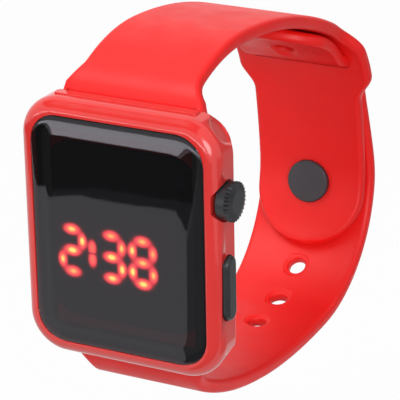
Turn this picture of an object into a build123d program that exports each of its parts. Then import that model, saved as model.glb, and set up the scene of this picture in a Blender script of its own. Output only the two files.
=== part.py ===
from build123d import *

import math
import os

# A digital watch: a moulded case with a smoked window over red light bars, a knurled
# push crown and an oblong button on the right flank, and a two-piece silicone strap
# that closes with a stud through a hole and a slot that keeps the free end.
# Millimetres. +X points to 3 o'clock, +Z to 12 o'clock, and the window faces -Y.
# The origin is the middle of the flat rear face of the back cover.

# Case
CASE_WIDTH = 34.8
CASE_HEIGHT = 43.0
CASE_CORNER = 6.6
CASE_DEPTH = 8.6
FLANK_DEPTH = 5.5
REAR_INSET = 1.8
FRONT_ROUND = 2.4
FLANK_ROUND = 0.6
REAR_ROUND = 0.5
CAVITY_WIDTH = 27.0
CAVITY_HEIGHT = 29.6
CAVITY_CORNER = 5.0
OVERRUN = 3.0
OVERLAP = 0.01

# Window
LENS_WIDTH = 30.06
LENS_HEIGHT = 38.0
LENS_CORNER = 4.7
LENS_PROUD = 0.75
LENS_SEAT = 1.5
LENS_EDGE_RUN = 3.2
LENS_SIDE_WALL = 0.1
LENS_CLEARANCE = 0.06
TAPE_THICKNESS = 0.2
TAPE_WIDTH = 1.1

# Light bars and the moulding that holds them
DIGIT_WIDTH = 4.6
DIGIT_HEIGHT = 8.1
DIGIT_PITCH = 5.54
DIGIT_RIGHT_X = 3.4
DIGIT_MIDDLE_Z = -3.7
COLON_X = -5.6
COLON_SPREAD = 2.1
HOURS_X = -9.2
TENS_X = -12.5
BAR_THICKNESS = 0.95
BAR_END_GAP = 0.25
COLON_LENGTH = 1.5
MASK_DEPTH = 2.2
MASK_SETBACK = 0.1
MASK_CLEARANCE = 0.1
BAR_CLEARANCE = 0.03

# Circuit board, module frame and battery
BOARD_THICKNESS = 0.8
BOARD_CLEARANCE = 0.25
BATTERY_DIAMETER = 20.0
BATTERY_THICKNESS = 2.5
BATTERY_Z = -4.2
BATTERY_CLEARANCE = 0.2
BATTERY_CAP_STEP = 1.2
BATTERY_CAP_HEIGHT = 0.35
LEAF_DIAMETER = 8.0
LEAF_THICKNESS = 0.2
FRAME_SLACK = 0.05
FRAME_CLEARANCE = 0.1
PARTS_POCKET_WIDTH = 20.0
PARTS_POCKET_HEIGHT = 6.6
PARTS_POCKET_GAP = 0.6
CLIP_STRIP_WIDTH = 4.2
CLIP_STRIP_SPAN = 22.6
CLIP_STRIP_THICKNESS = 0.2
CLIP_SLOT_GAP = 0.15
CHIP_X_SHARE = -0.27
CHIP_DIAMETER = 5.6
CHIP_HEIGHT = 1.2
CRYSTAL_Z_SHARE = 0.25
CRYSTAL_DIAMETER = 1.9
CRYSTAL_LENGTH = 5.0
RESISTOR_Z_SHARE = -0.2
RESISTOR_LENGTH = 1.6
RESISTOR_WIDTH = 0.8
RESISTOR_HEIGHT = 0.5
RESISTOR_PITCH = 1.3
RESISTOR_COUNT = 4

# Back cover, its gasket and screws
COVER_WIDTH = 28.6
COVER_HEIGHT = 33.6
COVER_CORNER = 2.2
COVER_THICKNESS = 1.8
COVER_RECESS = 0.7
COVER_CLEARANCE = 0.1
COVER_ROUND = 0.5
SCREW_INSET = 1.5
SCREW_DIAMETER = 1.4
SCREW_HEAD_DIAMETER = 2.0
SCREW_HEAD_HEIGHT = 0.8
SCREW_LENGTH = 3.6
SCREW_CLEARANCE = 0.05
SCREW_SLOT_WIDTH = 0.35
SCREW_SLOT_DEPTH = 0.35
SCREW_THREAD_GAP = 0.02
GASKET_WIDTH = 0.5
GASKET_HEIGHT = 0.5
GASKET_INSET = 0.15
GASKET_CLEARANCE = 0.03

# Spring bars and the recesses that take the strap ends
BAR_AXIS_DEPTH = 6.3
BAR_AXIS_INSET = 2.2
BAR_AXIS_Z = CASE_HEIGHT / 2 - BAR_AXIS_INSET
RECESS_WIDTH = 23.0
KNUCKLE_DIAMETER = 2.7
KNUCKLE_GAP = 0.2
TUBE_DIAMETER = 1.5
TUBE_BORE = 1.1
TUBE_GAP = 0.3
TUBE_LIP = 0.4
TIP_DIAMETER = 1.0
TIP_LENGTH = 2.2
NOSE_DIAMETER = 0.8
NOSE_REACH = 0.9
RUNNING_GAP = 0.05
BAR_SPRING_WIRE = 0.28
BAR_SPRING_TURNS = 12

# Crown
CROWN_AXIS_DEPTH = 3.3
CROWN_Z = 8.44
CROWN_DIAMETER = 6.3
CROWN_FACE_X = 19.26
CROWN_LENGTH = 2.48
CROWN_COLLAR = 1.45
CROWN_TEETH = 28
CROWN_TOOTH_DEPTH = 0.32
CROWN_BEVEL = 0.3
CROWN_FLAT_DIAMETER = 4.0
CROWN_WELL_GAP = 0.2
CROWN_TRAVEL = 0.5

# Side button
BUTTON_AXIS_DEPTH = 3.2
BUTTON_Z = -5.9
BUTTON_LENGTH = 10.7
BUTTON_WIDTH = 3.1
BUTTON_PROUD = 0.8
BUTTON_SKIRT = 1.2
BUTTON_ROUND = 0.6
BUTTON_GAP = 0.12
BUTTON_TRAVEL = 0.6

# What the crown and the button share
TRAVEL_GAP = 0.2
STEM_DIAMETER = 1.2
STEM_SOCKET_DEPTH = 0.6
CAP_HOLLOW_DIAMETER = 2.7
CAP_HOLLOW_DEPTH = 0.9
CLIP_RING_DIAMETER = 1.9
CLIP_RING_THICKNESS = 0.3
CLIP_GROOVE_DIAMETER = 0.8
CLIP_OPENING = 0.6
CLIP_WALL_GAP = 0.05
SEAL_WIRE = 0.35
SEAL_GAP = 0.01
SPRING_WIRE = 0.2
SPRING_DIAMETER = 2.4
SPRING_TURNS = 3
SWITCH_WIDTH = 2.6
SWITCH_RISE = 0.8
SWITCH_LENGTH = 1.6
SWITCH_KEY = 0.35
SWITCH_KEY_DIAMETER = 1.0
SWITCH_KEY_X = 12.1
SWITCH_NOTCH_GAP = 0.15
SWITCH_STOP_GAP = 0.05
BOARD_NOTCH_RISE = 1.4

# Strap: the pin half hangs from the 12 o'clock bar and the tail from the other
PIN_THICKNESS = 2.3
TAIL_THICKNESS = 2.2
STRAP_EDGE = 0.8
STRAP_GAP = 0.3
STRAP_SIDE_GAP = 0.3
SLOT_SIDE_GAP = 0.35
STRAP_WIDTH = 20.6
SHOULDER_WIDTH = 24.8
SHOULDER_RUN = 4.6
ROOT_GAP = 0.3
TAIL_END_WIDTH = 19.4
TAIL_TAPER_RUN = 20.0
KEEPER_WIDTH = 24.6
KEEPER_RUN = 9.0
KEEPER_LAND = 3.0
SECTION_SPACING = 3.0
SECTION_TURN = 12.0
LEAST_SPACING = 0.03
FULL_ROUND_SHARE = 0.999
PIN_TIP_RUN = 10.3
TAIL_TIP_RUN = 7.0
TIP_SHARES = (0, 0.25, 0.48, 0.68, 0.84, 0.94, 0.985)

# Centre line of the pin half: a straight rise from the bar, then arcs of these radii
PIN_RISE = 0.834
PIN_ROOT_RADIUS = 4.08
PIN_TOP_RADIUS = 32.3
PIN_REAR_RADIUS = 88.3
PIN_HEEL_RADIUS = 20.0
PIN_FLAT_RADIUS = 130.0
PIN_LOW_RADIUS = 20.3
PIN_TURNS = (63.5, 28.9, 22.4, 53.7, 6.7, 52.0)
STUD_STATION = 94.53
PIN_END_STATION = 106.53
SLOT_STATION = 69.23

# Centre line of the tail half: a straight drop, two arcs, then two that meet the pin half
TAIL_DROP = 1.9
TAIL_ROOT_RADIUS = 6.63
TAIL_LOW_RADIUS = 55.0
TAIL_TURNS = (62.0, 13.5)
SLOT_BEND = 10.0
SLOT_CLEARANCE = 0.26
TAIL_PAST_STUD = 46.3
BEND_SPACING = 1.0

# Holes and stud
HOLE_PITCH = 8.85
HOLES_BEFORE_STUD = 4
HOLES_PAST_STUD = 4
HOLE_DIAMETER = 3.2
HOLE_DIMPLE_DIAMETER = 4.6
HOLE_DIMPLE_DEPTH = 0.4
STUD_PLATE_DIAMETER = 7.8
STUD_PLATE_PROUD = 1.0
STUD_PLATE_SUNK = 0.4
STUD_PLATE_ROUND = 0.3
STUD_NECK_DIAMETER = 2.4
STUD_HEAD_DIAMETER = 4.0
STUD_HEAD_HEIGHT = 1.4
STUD_HEAD_ROUND = 0.6
STUD_HEAD_GAP = 0.3
STUD_SHANK_DIAMETER = 1.4
STUD_FIT_GAP = 0.02

# Places along Y that the pieces share
SHELL_REAR = COVER_RECESS - COVER_THICKNESS
SHELL_FRONT = SHELL_REAR - CASE_DEPTH
FLANK_REAR = SHELL_FRONT + FLANK_DEPTH
LENS_REAR = SHELL_FRONT + LENS_SEAT
LEDGE = LENS_REAR + TAPE_THICKNESS
COVER_SEAT = -COVER_THICKNESS
MASK_FRONT = LENS_REAR + MASK_SETBACK
BOARD_FRONT = MASK_FRONT + MASK_DEPTH
BOARD_REAR = BOARD_FRONT + BOARD_THICKNESS
BATTERY_FRONT = BOARD_REAR + LEAF_THICKNESS
BATTERY_REAR = BATTERY_FRONT + BATTERY_THICKNESS
BAR_Y = SHELL_FRONT + BAR_AXIS_DEPTH
CROWN_Y = SHELL_FRONT + CROWN_AXIS_DEPTH
BUTTON_Y = SHELL_FRONT + BUTTON_AXIS_DEPTH

# Places along X of the crown and the button
FLANK = CASE_WIDTH / 2
CAVITY_SIDE = CAVITY_WIDTH / 2
CROWN_BASE = CROWN_FACE_X - CROWN_LENGTH
CROWN_FLOOR = CROWN_BASE - CROWN_TRAVEL - TRAVEL_GAP
BUTTON_BASE = FLANK - BUTTON_SKIRT
BUTTON_FLOOR = BUTTON_BASE - BUTTON_TRAVEL - TRAVEL_GAP
TUBE_END = RECESS_WIDTH / 2 - TUBE_GAP
NOSE_END = RECESS_WIDTH / 2 + NOSE_REACH
SCREW_X = COVER_WIDTH / 2 - SCREW_INSET
SCREW_Z = COVER_HEIGHT / 2 - SCREW_INSET


def slab(outline, front, rear):
    """A flat outline drawn in X and Z, made solid from front to rear along Y."""
    return Pos(0, rear, 0) * extrude(Plane.XZ * outline, rear - front)


def rod(diameter, start, end, y, z):
    """A round bar along X."""
    bar = Cylinder(diameter / 2, end - start, align=(Align.CENTER, Align.CENTER, Align.MIN))
    return Pos(start, y, z) * Rot(0, 90, 0) * bar


def post(diameter, front, rear, x, z):
    """A round bar along Y."""
    bar = Cylinder(diameter / 2, rear - front, align=(Align.CENTER, Align.CENTER, Align.MIN))
    return Pos(x, front, z) * Rot(-90, 0, 0) * bar


def block(x_range, y_range, z_range):
    """A box between the given limits."""
    ranges = (x_range, y_range, z_range)
    sizes = [high - low for low, high in ranges]
    middles = [(high + low) / 2 for low, high in ranges]
    return Pos(*middles) * Box(*sizes)


def rounded(width, height, corner):
    return RectangleRounded(width, height, corner)


def ring_slab(width, height, corner, wall, front, rear):
    """A flat frame: the outline's own size, with limbs of the wall's width."""
    outer = slab(rounded(width, height, corner), front, rear)
    inner = rounded(width - 2 * wall, height - 2 * wall, corner - wall)
    return outer - slab(inner, front - OVERRUN, rear + OVERRUN)


def helix_spring(wire, diameter, turns, start, end, y, z):
    """A closed-count compression spring along X between two seats."""
    length = end - start - wire
    path = Helix(pitch=length / turns, height=length, radius=(diameter - wire) / 2)
    profile = Plane(origin=path @ 0, z_dir=path % 0) * Circle(wire / 2)
    coil = sweep(profile, path=path, is_frenet=True)
    return Pos(start + wire / 2, y, z) * Rot(0, 90, 0) * coil


# Centre lines. A segment is its station, Y, Z, heading, length and turn in degrees,
# with the heading measured from +Y towards +Z and left turns positive.
def along(segment, distance):
    _, y, z, heading, length, turn = segment
    if turn == 0:
        angle = math.radians(heading)
        return y + distance * math.cos(angle), z + distance * math.sin(angle), heading
    radius = length / math.radians(turn)
    start = math.radians(heading)
    end = start + distance / radius
    shift_y = radius * (math.sin(end) - math.sin(start))
    shift_z = radius * (math.cos(start) - math.cos(end))
    return y + shift_y, z + shift_z, math.degrees(end)


def trace(y, z, heading, bends):
    """The segments of a centre line from its start and its lengths and turns."""
    segments = []
    station = 0
    for length, turn in bends:
        segments.append((station, y, z, heading, length, turn))
        y, z, heading = along(segments[-1], length)
        station = station + length
    return segments


def point_on(segments, station):
    chosen = segments[0]
    for segment in segments:
        if segment[0] <= station:
            chosen = segment
    return along(chosen, station - chosen[0])


def total_length(segments):
    return segments[-1][0] + segments[-1][4]


def arc_bend(start, heading, end):
    """Length and turn of the arc that leaves start at heading and reaches end."""
    run = (end[0] - start[0], end[1] - start[1])
    chord = math.hypot(*run)
    turn = 2 * (math.atan2(run[1], run[0]) - math.radians(heading))
    turn = math.atan2(math.sin(turn / 2), math.cos(turn / 2)) * 2
    return chord * (turn / 2) / math.sin(turn / 2), math.degrees(turn)


def biarc_bends(start, heading, end, end_heading):
    """Two arcs, tangent to each other, between two places and headings."""
    first = math.radians(heading)
    last = math.radians(end_heading)
    run = (end[0] - start[0], end[1] - start[1])
    sum_y = math.cos(first) + math.cos(last)
    sum_z = math.sin(first) + math.sin(last)
    square = 2 * (1 - math.cos(last - first))
    linear = 2 * (run[0] * sum_y + run[1] * sum_z)
    constant = run[0] ** 2 + run[1] ** 2
    reach = (math.sqrt(linear**2 + 4 * square * constant) - linear) / (2 * square)
    meet_y = (start[0] + end[0] + reach * (math.cos(first) - math.cos(last))) / 2
    meet_z = (start[1] + end[1] + reach * (math.sin(first) - math.sin(last))) / 2
    bend = arc_bend(start, heading, (meet_y, meet_z))
    return [bend, arc_bend((meet_y, meet_z), heading + bend[1], end)]


def ease(share):
    """Smooth step from 0 to 1."""
    held = min(max(share, 0), 1)
    return held * held * (3 - 2 * held)


def offset_point(y, z, heading, distance):
    """A place beside the line, to the left of its heading for a positive distance."""
    angle = math.radians(heading)
    return y - distance * math.sin(angle), z + distance * math.cos(angle)


PIN_RADII = (
    PIN_ROOT_RADIUS,
    PIN_TOP_RADIUS,
    PIN_REAR_RADIUS,
    PIN_HEEL_RADIUS,
    PIN_FLAT_RADIUS,
    PIN_LOW_RADIUS,
)
PIN_BENDS = [(PIN_RISE, 0)]
for RADIUS, TURN in zip(PIN_RADII, PIN_TURNS):
    PIN_BENDS.append((RADIUS * math.radians(TURN), -TURN))
PIN_LINE = trace(BAR_Y, BAR_AXIS_Z, 90, PIN_BENDS)

# The tail lies outside the pin half from the stud to the slot, then inside it.
LAYER = (PIN_THICKNESS + TAIL_THICKNESS) / 2 + STRAP_GAP
STUD_PLACE = point_on(PIN_LINE, STUD_STATION)
TAIL_MEET = offset_point(*STUD_PLACE, LAYER)
TAIL_RADII = (TAIL_ROOT_RADIUS, TAIL_LOW_RADIUS)
TAIL_BENDS = [(TAIL_DROP, 0)]
for RADIUS, TURN in zip(TAIL_RADII, TAIL_TURNS):
    TAIL_BENDS.append((RADIUS * math.radians(TURN), TURN))
TAIL_START = trace(BAR_Y, -BAR_AXIS_Z, -90, TAIL_BENDS)
LOW_Y, LOW_Z, LOW_HEADING = point_on(TAIL_START, total_length(TAIL_START))
TAIL_HEADING = STUD_PLACE[2] + 180
TAIL_BENDS.extend(biarc_bends((LOW_Y, LOW_Z), LOW_HEADING, TAIL_MEET, TAIL_HEADING))
TAIL_LINE = trace(BAR_Y, -BAR_AXIS_Z, -90, TAIL_BENDS)
TAIL_STUD_STATION = total_length(TAIL_LINE)


def layer_at(pin_station):
    """Offset of the tail from the pin half's centre line, outside positive."""
    return LAYER * (1 - 2 * ease((SLOT_STATION - pin_station) / SLOT_BEND + 0.5))


def tucked_rows(first, last):
    """Rows of station past the stud, place and heading, between two pin half stations."""
    count = math.ceil((first - last) / BEND_SPACING)
    step = (first - last) / count
    places = []
    for index in range(-1, count + 2):
        station = first - index * step
        places.append(offset_point(*point_on(PIN_LINE, station), layer_at(station)))
    rows = []
    run = 0
    for index in range(1, count + 2):
        before = places[index - 1]
        after = places[index + 1]
        heading = math.degrees(math.atan2(after[1] - before[1], after[0] - before[0]))
        rows.append((run, *places[index], heading))
        run = run + math.dist(places[index], after)
    return rows


TAIL_END_ON_PIN = STUD_STATION - TAIL_PAST_STUD
TUCKED = tucked_rows(STUD_STATION, TAIL_END_ON_PIN)
TAIL_END_STATION = TAIL_STUD_STATION + TUCKED[-1][0]


def tail_point(station):
    """Place and heading on the tail's centre line, before or past the stud."""
    past = station - TAIL_STUD_STATION
    if past <= 0:
        return point_on(TAIL_LINE, station)
    for row, ahead in zip(TUCKED, TUCKED[1:]):
        if ahead[0] >= past:
            break
    share = (past - row[0]) / (ahead[0] - row[0])
    return tuple(low + share * (high - low) for low, high in zip(row[1:], ahead[1:]))


def stations_along(segments, start, end):
    """Stations close enough to follow each arc, from start to end."""
    stations = [start]
    for station, _, _, _, length, turn in segments:
        steps = math.ceil(max(length / SECTION_SPACING, abs(turn) / SECTION_TURN))
        for index in range(steps + 1):
            place = station + length * index / steps
            if stations[-1] + LEAST_SPACING < place < end:
                stations.append(place)
    return stations


def tip_width(width, station, end, run):
    """Width of a strap whose end is half an ellipse run long."""
    share = min(max((station - end + run) / run, 0), 1)
    return width * math.sqrt(1 - share * share)


def strap_section(y, z, heading, width, thickness):
    angle = math.radians(heading)
    plane = Plane(origin=(0, y, z), x_dir=(1, 0, 0), z_dir=(0, math.cos(angle), math.sin(angle)))
    edge = min(STRAP_EDGE, thickness / 2, width / 2) * FULL_ROUND_SHARE
    return plane * RectangleRounded(width, thickness, edge)


def strap_band(rows, thickness):
    """Ruled skin through rounded sections; a row is place, heading and width."""
    sections = [strap_section(*row, thickness) for row in rows]
    return loft(sections, ruled=True)


def across(place, diameter, low, high):
    """A round bar square to a centre line, from low to high along its left normal."""
    y, z, heading = place
    angle = math.radians(heading)
    plane = Plane(origin=(0, y, z), x_dir=(1, 0, 0), z_dir=(0, -math.sin(angle), math.cos(angle)))
    bar = Cylinder(diameter / 2, high - low, align=(Align.CENTER, Align.CENTER, Align.MIN))
    return plane.location * Pos(0, 0, low) * bar


def strap_root(side, segments, thickness):
    """Knuckle and tongue that sit in the case recess round a spring bar."""
    half = RECESS_WIDTH / 2 - STRAP_SIDE_GAP
    knuckle = rod(KNUCKLE_DIAMETER, -half, half, BAR_Y, side * BAR_AXIS_Z)
    stations = stations_along(segments, 0, ROOT_STATION) + [ROOT_STATION]
    rows = [(*point_on(segments, station), 2 * half) for station in stations]
    return knuckle + strap_band(rows, thickness)


def bar_bore(side):
    bore = TUBE_DIAMETER + 2 * RUNNING_GAP
    return rod(bore, -RECESS_WIDTH, RECESS_WIDTH, BAR_Y, side * BAR_AXIS_Z)


ROOT_STATION = CASE_HEIGHT / 2 - BAR_AXIS_Z + ROOT_GAP


def shoulder_width(station, width):
    """Width of a strap half near the case, where it flares out to the shoulders."""
    share = min(max((station - ROOT_STATION) / SHOULDER_RUN, 0), 1)
    return width + (SHOULDER_WIDTH - width) * (1 - share) ** 2


def pin_width(station):
    rise = ease((SLOT_STATION - KEEPER_LAND - station) / -KEEPER_RUN + 1)
    fall = ease((station - SLOT_STATION - KEEPER_LAND) / KEEPER_RUN)
    full = shoulder_width(station, STRAP_WIDTH)
    swollen = full + (KEEPER_WIDTH - STRAP_WIDTH) * (rise - fall)
    return tip_width(swollen, station, PIN_END_STATION, PIN_TIP_RUN)


def tail_width(station):
    taper = ease((station - TAIL_STUD_STATION) / TAIL_TAPER_RUN + 1)
    full = shoulder_width(station, STRAP_WIDTH + (TAIL_END_WIDTH - STRAP_WIDTH) * taper)
    return tip_width(full, station, TAIL_END_STATION, TAIL_TIP_RUN)


def make_pin_strap():
    tip_start = PIN_END_STATION - PIN_TIP_RUN
    stations = stations_along(PIN_LINE, ROOT_STATION, tip_start)
    for share in TIP_SHARES:
        stations.append(tip_start + share * PIN_TIP_RUN)
    rows = [(*point_on(PIN_LINE, station), pin_width(station)) for station in stations]
    strap = strap_band(rows, PIN_THICKNESS) + strap_root(1, PIN_LINE, PIN_THICKNESS) - bar_bore(1)
    half_bend = SLOT_BEND / 2
    slot_rows = []
    for _, y, z, heading in tucked_rows(SLOT_STATION + half_bend, SLOT_STATION - half_bend):
        slot_rows.append((y, z, heading, TAIL_END_WIDTH + 2 * SLOT_SIDE_GAP))
    strap = strap - strap_band(slot_rows, TAIL_THICKNESS + 2 * SLOT_CLEARANCE)
    bore = STUD_NECK_DIAMETER + 2 * STUD_FIT_GAP
    seat = STUD_PLATE_DIAMETER + 2 * STUD_FIT_GAP
    inner = -PIN_THICKNESS / 2
    strap = strap - across(STUD_PLACE, bore, -PIN_THICKNESS, PIN_THICKNESS)
    return strap - across(STUD_PLACE, seat, inner - OVERRUN, inner + STUD_PLATE_SUNK + STUD_FIT_GAP)


def make_tail_strap():
    tip_start = TAIL_END_STATION - TAIL_TIP_RUN
    stations = stations_along(TAIL_LINE, ROOT_STATION, TAIL_STUD_STATION)
    for run, _, _, _ in TUCKED:
        if TAIL_STUD_STATION + run < tip_start - BEND_SPACING / 2:
            stations.append(TAIL_STUD_STATION + run)
    for share in TIP_SHARES:
        stations.append(tip_start + share * TAIL_TIP_RUN)
    rows = [(*tail_point(station), tail_width(station)) for station in stations]
    strap = strap_band(rows, TAIL_THICKNESS) + strap_root(-1, TAIL_LINE, TAIL_THICKNESS) - bar_bore(-1)
    face = TAIL_THICKNESS / 2
    for index in range(-HOLES_BEFORE_STUD, HOLES_PAST_STUD + 1):
        place = tail_point(TAIL_STUD_STATION + index * HOLE_PITCH)
        strap = strap - across(place, HOLE_DIAMETER, -TAIL_THICKNESS, TAIL_THICKNESS)
        dimple = HOLE_DIMPLE_DIAMETER
        strap = strap - across(place, dimple, face - HOLE_DIMPLE_DEPTH, TAIL_THICKNESS)
        strap = strap - across(place, dimple, -TAIL_THICKNESS, HOLE_DIMPLE_DEPTH - face)
    return strap


STUD_SEAT = STUD_PLATE_SUNK - PIN_THICKNESS / 2
STUD_HEAD_START = LAYER + TAIL_THICKNESS / 2 - HOLE_DIMPLE_DEPTH + STUD_HEAD_GAP


def make_stud_base():
    face = STUD_SEAT - STUD_PLATE_SUNK - STUD_PLATE_PROUD
    plate = across(STUD_PLACE, STUD_PLATE_DIAMETER, face, STUD_SEAT)
    plate = fillet(plate.edges().filter_by(GeomType.CIRCLE), STUD_PLATE_ROUND)
    return plate + across(STUD_PLACE, STUD_SHANK_DIAMETER, STUD_SEAT, STUD_HEAD_START)


def make_stud_pin():
    top = STUD_HEAD_START + STUD_HEAD_HEIGHT
    head = across(STUD_PLACE, STUD_HEAD_DIAMETER, STUD_HEAD_START, top)
    head = fillet(head.edges().filter_by(GeomType.CIRCLE), STUD_HEAD_ROUND)
    neck = across(STUD_PLACE, STUD_NECK_DIAMETER, STUD_SEAT, top - STUD_HEAD_ROUND)
    shank = STUD_SHANK_DIAMETER + 2 * STUD_FIT_GAP
    return head + neck - across(STUD_PLACE, shank, STUD_SEAT, STUD_HEAD_START + STUD_FIT_GAP)


def plunger_cut(cap_floor, y, z):
    """Bore for a stem and the step for its seal, from the cavity to the cap's pocket."""
    bore = rod(STEM_DIAMETER + 2 * RUNNING_GAP, CAVITY_SIDE - OVERRUN, cap_floor + OVERRUN, y, z)
    step = STEM_DIAMETER + 2 * SEAL_WIRE + 2 * SEAL_GAP + 2 * RUNNING_GAP
    return bore + rod(step, cap_floor - SEAL_WIRE - SEAL_GAP, cap_floor + OVERRUN, y, z)


def make_seal(cap_floor, y, z):
    centre = Pos(cap_floor - SEAL_WIRE / 2, y, z) * Rot(0, 90, 0)
    return centre * Torus(STEM_DIAMETER / 2 + RUNNING_GAP + SEAL_WIRE / 2, SEAL_WIRE / 2)


def make_stem(start, end, y, z):
    """Stem with a groove just inside the cavity wall for its clip."""
    stem = rod(STEM_DIAMETER, start, end, y, z)
    outer = CAVITY_SIDE
    inner = outer - CLIP_RING_THICKNESS - 2 * CLIP_WALL_GAP
    ring = rod(STEM_DIAMETER + OVERRUN, inner, outer, y, z)
    return stem - (ring - rod(CLIP_GROOVE_DIAMETER, inner - OVERRUN, outer + OVERRUN, y, z))


def make_clip(y, z):
    """Open ring that snaps into a stem's groove."""
    outer = CAVITY_SIDE - CLIP_WALL_GAP
    inner = outer - CLIP_RING_THICKNESS
    ring = rod(CLIP_RING_DIAMETER, inner, outer, y, z)
    bore = CLIP_GROOVE_DIAMETER + 2 * RUNNING_GAP
    ring = ring - rod(bore, inner - OVERRUN, outer + OVERRUN, y, z)
    half = CLIP_OPENING / 2
    return ring - block((inner - OVERRUN, outer + OVERRUN), (y - OVERRUN, y), (z - half, z + half))


def make_switch(y, z):
    """Side-acting switch on the board, its key facing a stem."""
    face = SWITCH_KEY_X - SWITCH_KEY
    depth = (y - SWITCH_RISE, BOARD_FRONT)
    half = SWITCH_WIDTH / 2
    body = block((face - SWITCH_LENGTH, face), depth, (z - half, z + half))
    return body + rod(SWITCH_KEY_DIAMETER, face, SWITCH_KEY_X, y, z)


def switch_notch(z):
    """Room in the display moulding for a switch, a stem's end and its clip."""
    start = SWITCH_KEY_X - SWITCH_KEY - SWITCH_LENGTH - SWITCH_NOTCH_GAP
    half = SWITCH_WIDTH / 2 + SWITCH_NOTCH_GAP
    depth = (MASK_FRONT - OVERRUN, BOARD_FRONT + OVERRUN)
    return block((start, CAVITY_SIDE + OVERRUN), depth, (z - half, z + half))


def button_outline(gap):
    return Plane.YZ * SlotOverall(BUTTON_LENGTH + 2 * gap, BUTTON_WIDTH + 2 * gap, rotation=90)


def make_case_shell():
    outline = rounded(CASE_WIDTH, CASE_HEIGHT, CASE_CORNER)
    rear = Plane(origin=(0, FLANK_REAR, 0), x_dir=(1, 0, 0), z_dir=(0, 1, 0)) * outline
    depth = SHELL_REAR - FLANK_REAR
    taper = math.degrees(math.atan2(REAR_INSET, depth))
    shell = slab(outline, SHELL_FRONT, FLANK_REAR) + extrude(rear, depth, taper=taper)
    flank = shell.edges().filter_by_position(Axis.Y, FLANK_REAR - OVERLAP, FLANK_REAR + OVERLAP)
    shell = fillet(flank, FLANK_ROUND)
    shell = fillet(shell.edges().group_by(Axis.Y)[0], FRONT_ROUND)
    shell = fillet(shell.edges().group_by(Axis.Y)[-1], REAR_ROUND)

    seat = rounded(
        LENS_WIDTH + 2 * LENS_CLEARANCE,
        LENS_HEIGHT + 2 * LENS_CLEARANCE,
        LENS_CORNER + LENS_CLEARANCE,
    )
    shell = shell - slab(seat, SHELL_FRONT - OVERRUN, LEDGE)
    cavity = rounded(CAVITY_WIDTH, CAVITY_HEIGHT, CAVITY_CORNER)
    shell = shell - slab(cavity, SHELL_FRONT, OVERRUN)
    cover = rounded(
        COVER_WIDTH + 2 * COVER_CLEARANCE,
        COVER_HEIGHT + 2 * COVER_CLEARANCE,
        COVER_CORNER + COVER_CLEARANCE,
    )
    shell = shell - slab(cover, COVER_SEAT, OVERRUN)
    shell = shell - gasket_ring(GASKET_CLEARANCE, OVERRUN)

    reach = KNUCKLE_DIAMETER / 2 + KNUCKLE_GAP
    wall = BAR_AXIS_Z - reach
    slot_half = RECESS_WIDTH / 2
    for side in (1, -1):
        heights = sorted((side * wall, side * (CASE_HEIGHT / 2 + OVERRUN)))
        shell = shell - block((-slot_half, slot_half), (BAR_Y - reach, OVERRUN), heights)
        nose = NOSE_DIAMETER + 2 * RUNNING_GAP
        end = NOSE_END + RUNNING_GAP
        shell = shell - rod(nose, -end, end, BAR_Y, side * BAR_AXIS_Z)
    thread = SCREW_DIAMETER + 2 * SCREW_THREAD_GAP
    for x, z in screw_places():
        shell = shell - post(thread, -SCREW_LENGTH - SCREW_CLEARANCE, OVERRUN, x, z)

    well = CROWN_DIAMETER + 2 * CROWN_WELL_GAP
    shell = shell - rod(well, CROWN_FLOOR, FLANK + OVERRUN, CROWN_Y, CROWN_Z)
    shell = shell - plunger_cut(CROWN_FLOOR, CROWN_Y, CROWN_Z)
    pocket = extrude(button_outline(BUTTON_GAP), FLANK + OVERRUN - BUTTON_FLOOR)
    shell = shell - Pos(BUTTON_FLOOR, BUTTON_Y, BUTTON_Z) * pocket
    return shell - plunger_cut(BUTTON_FLOOR, BUTTON_Y, BUTTON_Z)


def screw_places():
    return [(SCREW_X * right, SCREW_Z * up) for right in (1, -1) for up in (1, -1)]


def gasket_ring(gap, rear):
    """The gasket, or with a gap the groove that takes it."""
    grow = GASKET_INSET + GASKET_WIDTH + gap
    width = CAVITY_WIDTH + 2 * grow
    height = CAVITY_HEIGHT + 2 * grow
    front = COVER_SEAT - GASKET_HEIGHT - gap
    return ring_slab(width, height, CAVITY_CORNER + grow, GASKET_WIDTH + 2 * gap, front, rear)


def make_lens():
    """Window with a flat middle that rolls off to its edge."""
    front = SHELL_FRONT - LENS_PROUD
    seat = rounded(LENS_WIDTH, LENS_HEIGHT, LENS_CORNER)
    base = slab(seat, SHELL_FRONT + LENS_SIDE_WALL, LENS_REAR)
    rise = LENS_PROUD + LENS_SIDE_WALL
    sections = []
    for share in (0, 0.25, 0.5, 0.75, 1):
        turn = math.radians(90 * share)
        inset = LENS_EDGE_RUN * (1 - math.cos(turn))
        place = front + rise * (1 - math.sin(turn))
        outline = rounded(LENS_WIDTH - 2 * inset, LENS_HEIGHT - 2 * inset, LENS_CORNER - inset)
        sections.append(Pos(0, place, 0) * (Plane.XZ * outline))
    return base + loft(sections, ruled=True)


def make_tape():
    return ring_slab(LENS_WIDTH, LENS_HEIGHT, LENS_CORNER, TAPE_WIDTH, LENS_REAR, LEDGE)


def digit_bars(x, letters):
    """Outlines of a digit's light bars, by the usual seven letters."""
    side = (DIGIT_WIDTH - BAR_THICKNESS) / 2
    rise = (DIGIT_HEIGHT - BAR_THICKNESS) / 2
    flat = (2 * side - 2 * BAR_END_GAP, 0)
    tall = (rise - 2 * BAR_END_GAP, 90)
    places = {
        "a": (0, rise, flat),
        "b": (side, rise / 2, tall),
        "c": (side, -rise / 2, tall),
        "d": (0, -rise, flat),
        "e": (-side, -rise / 2, tall),
        "f": (-side, rise / 2, tall),
        "g": (0, 0, flat),
    }
    bars = []
    for letter in letters:
        right, up, (length, turn) = places[letter]
        bars.append((x + right, DIGIT_MIDDLE_Z + up, length, turn))
    return bars


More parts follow.
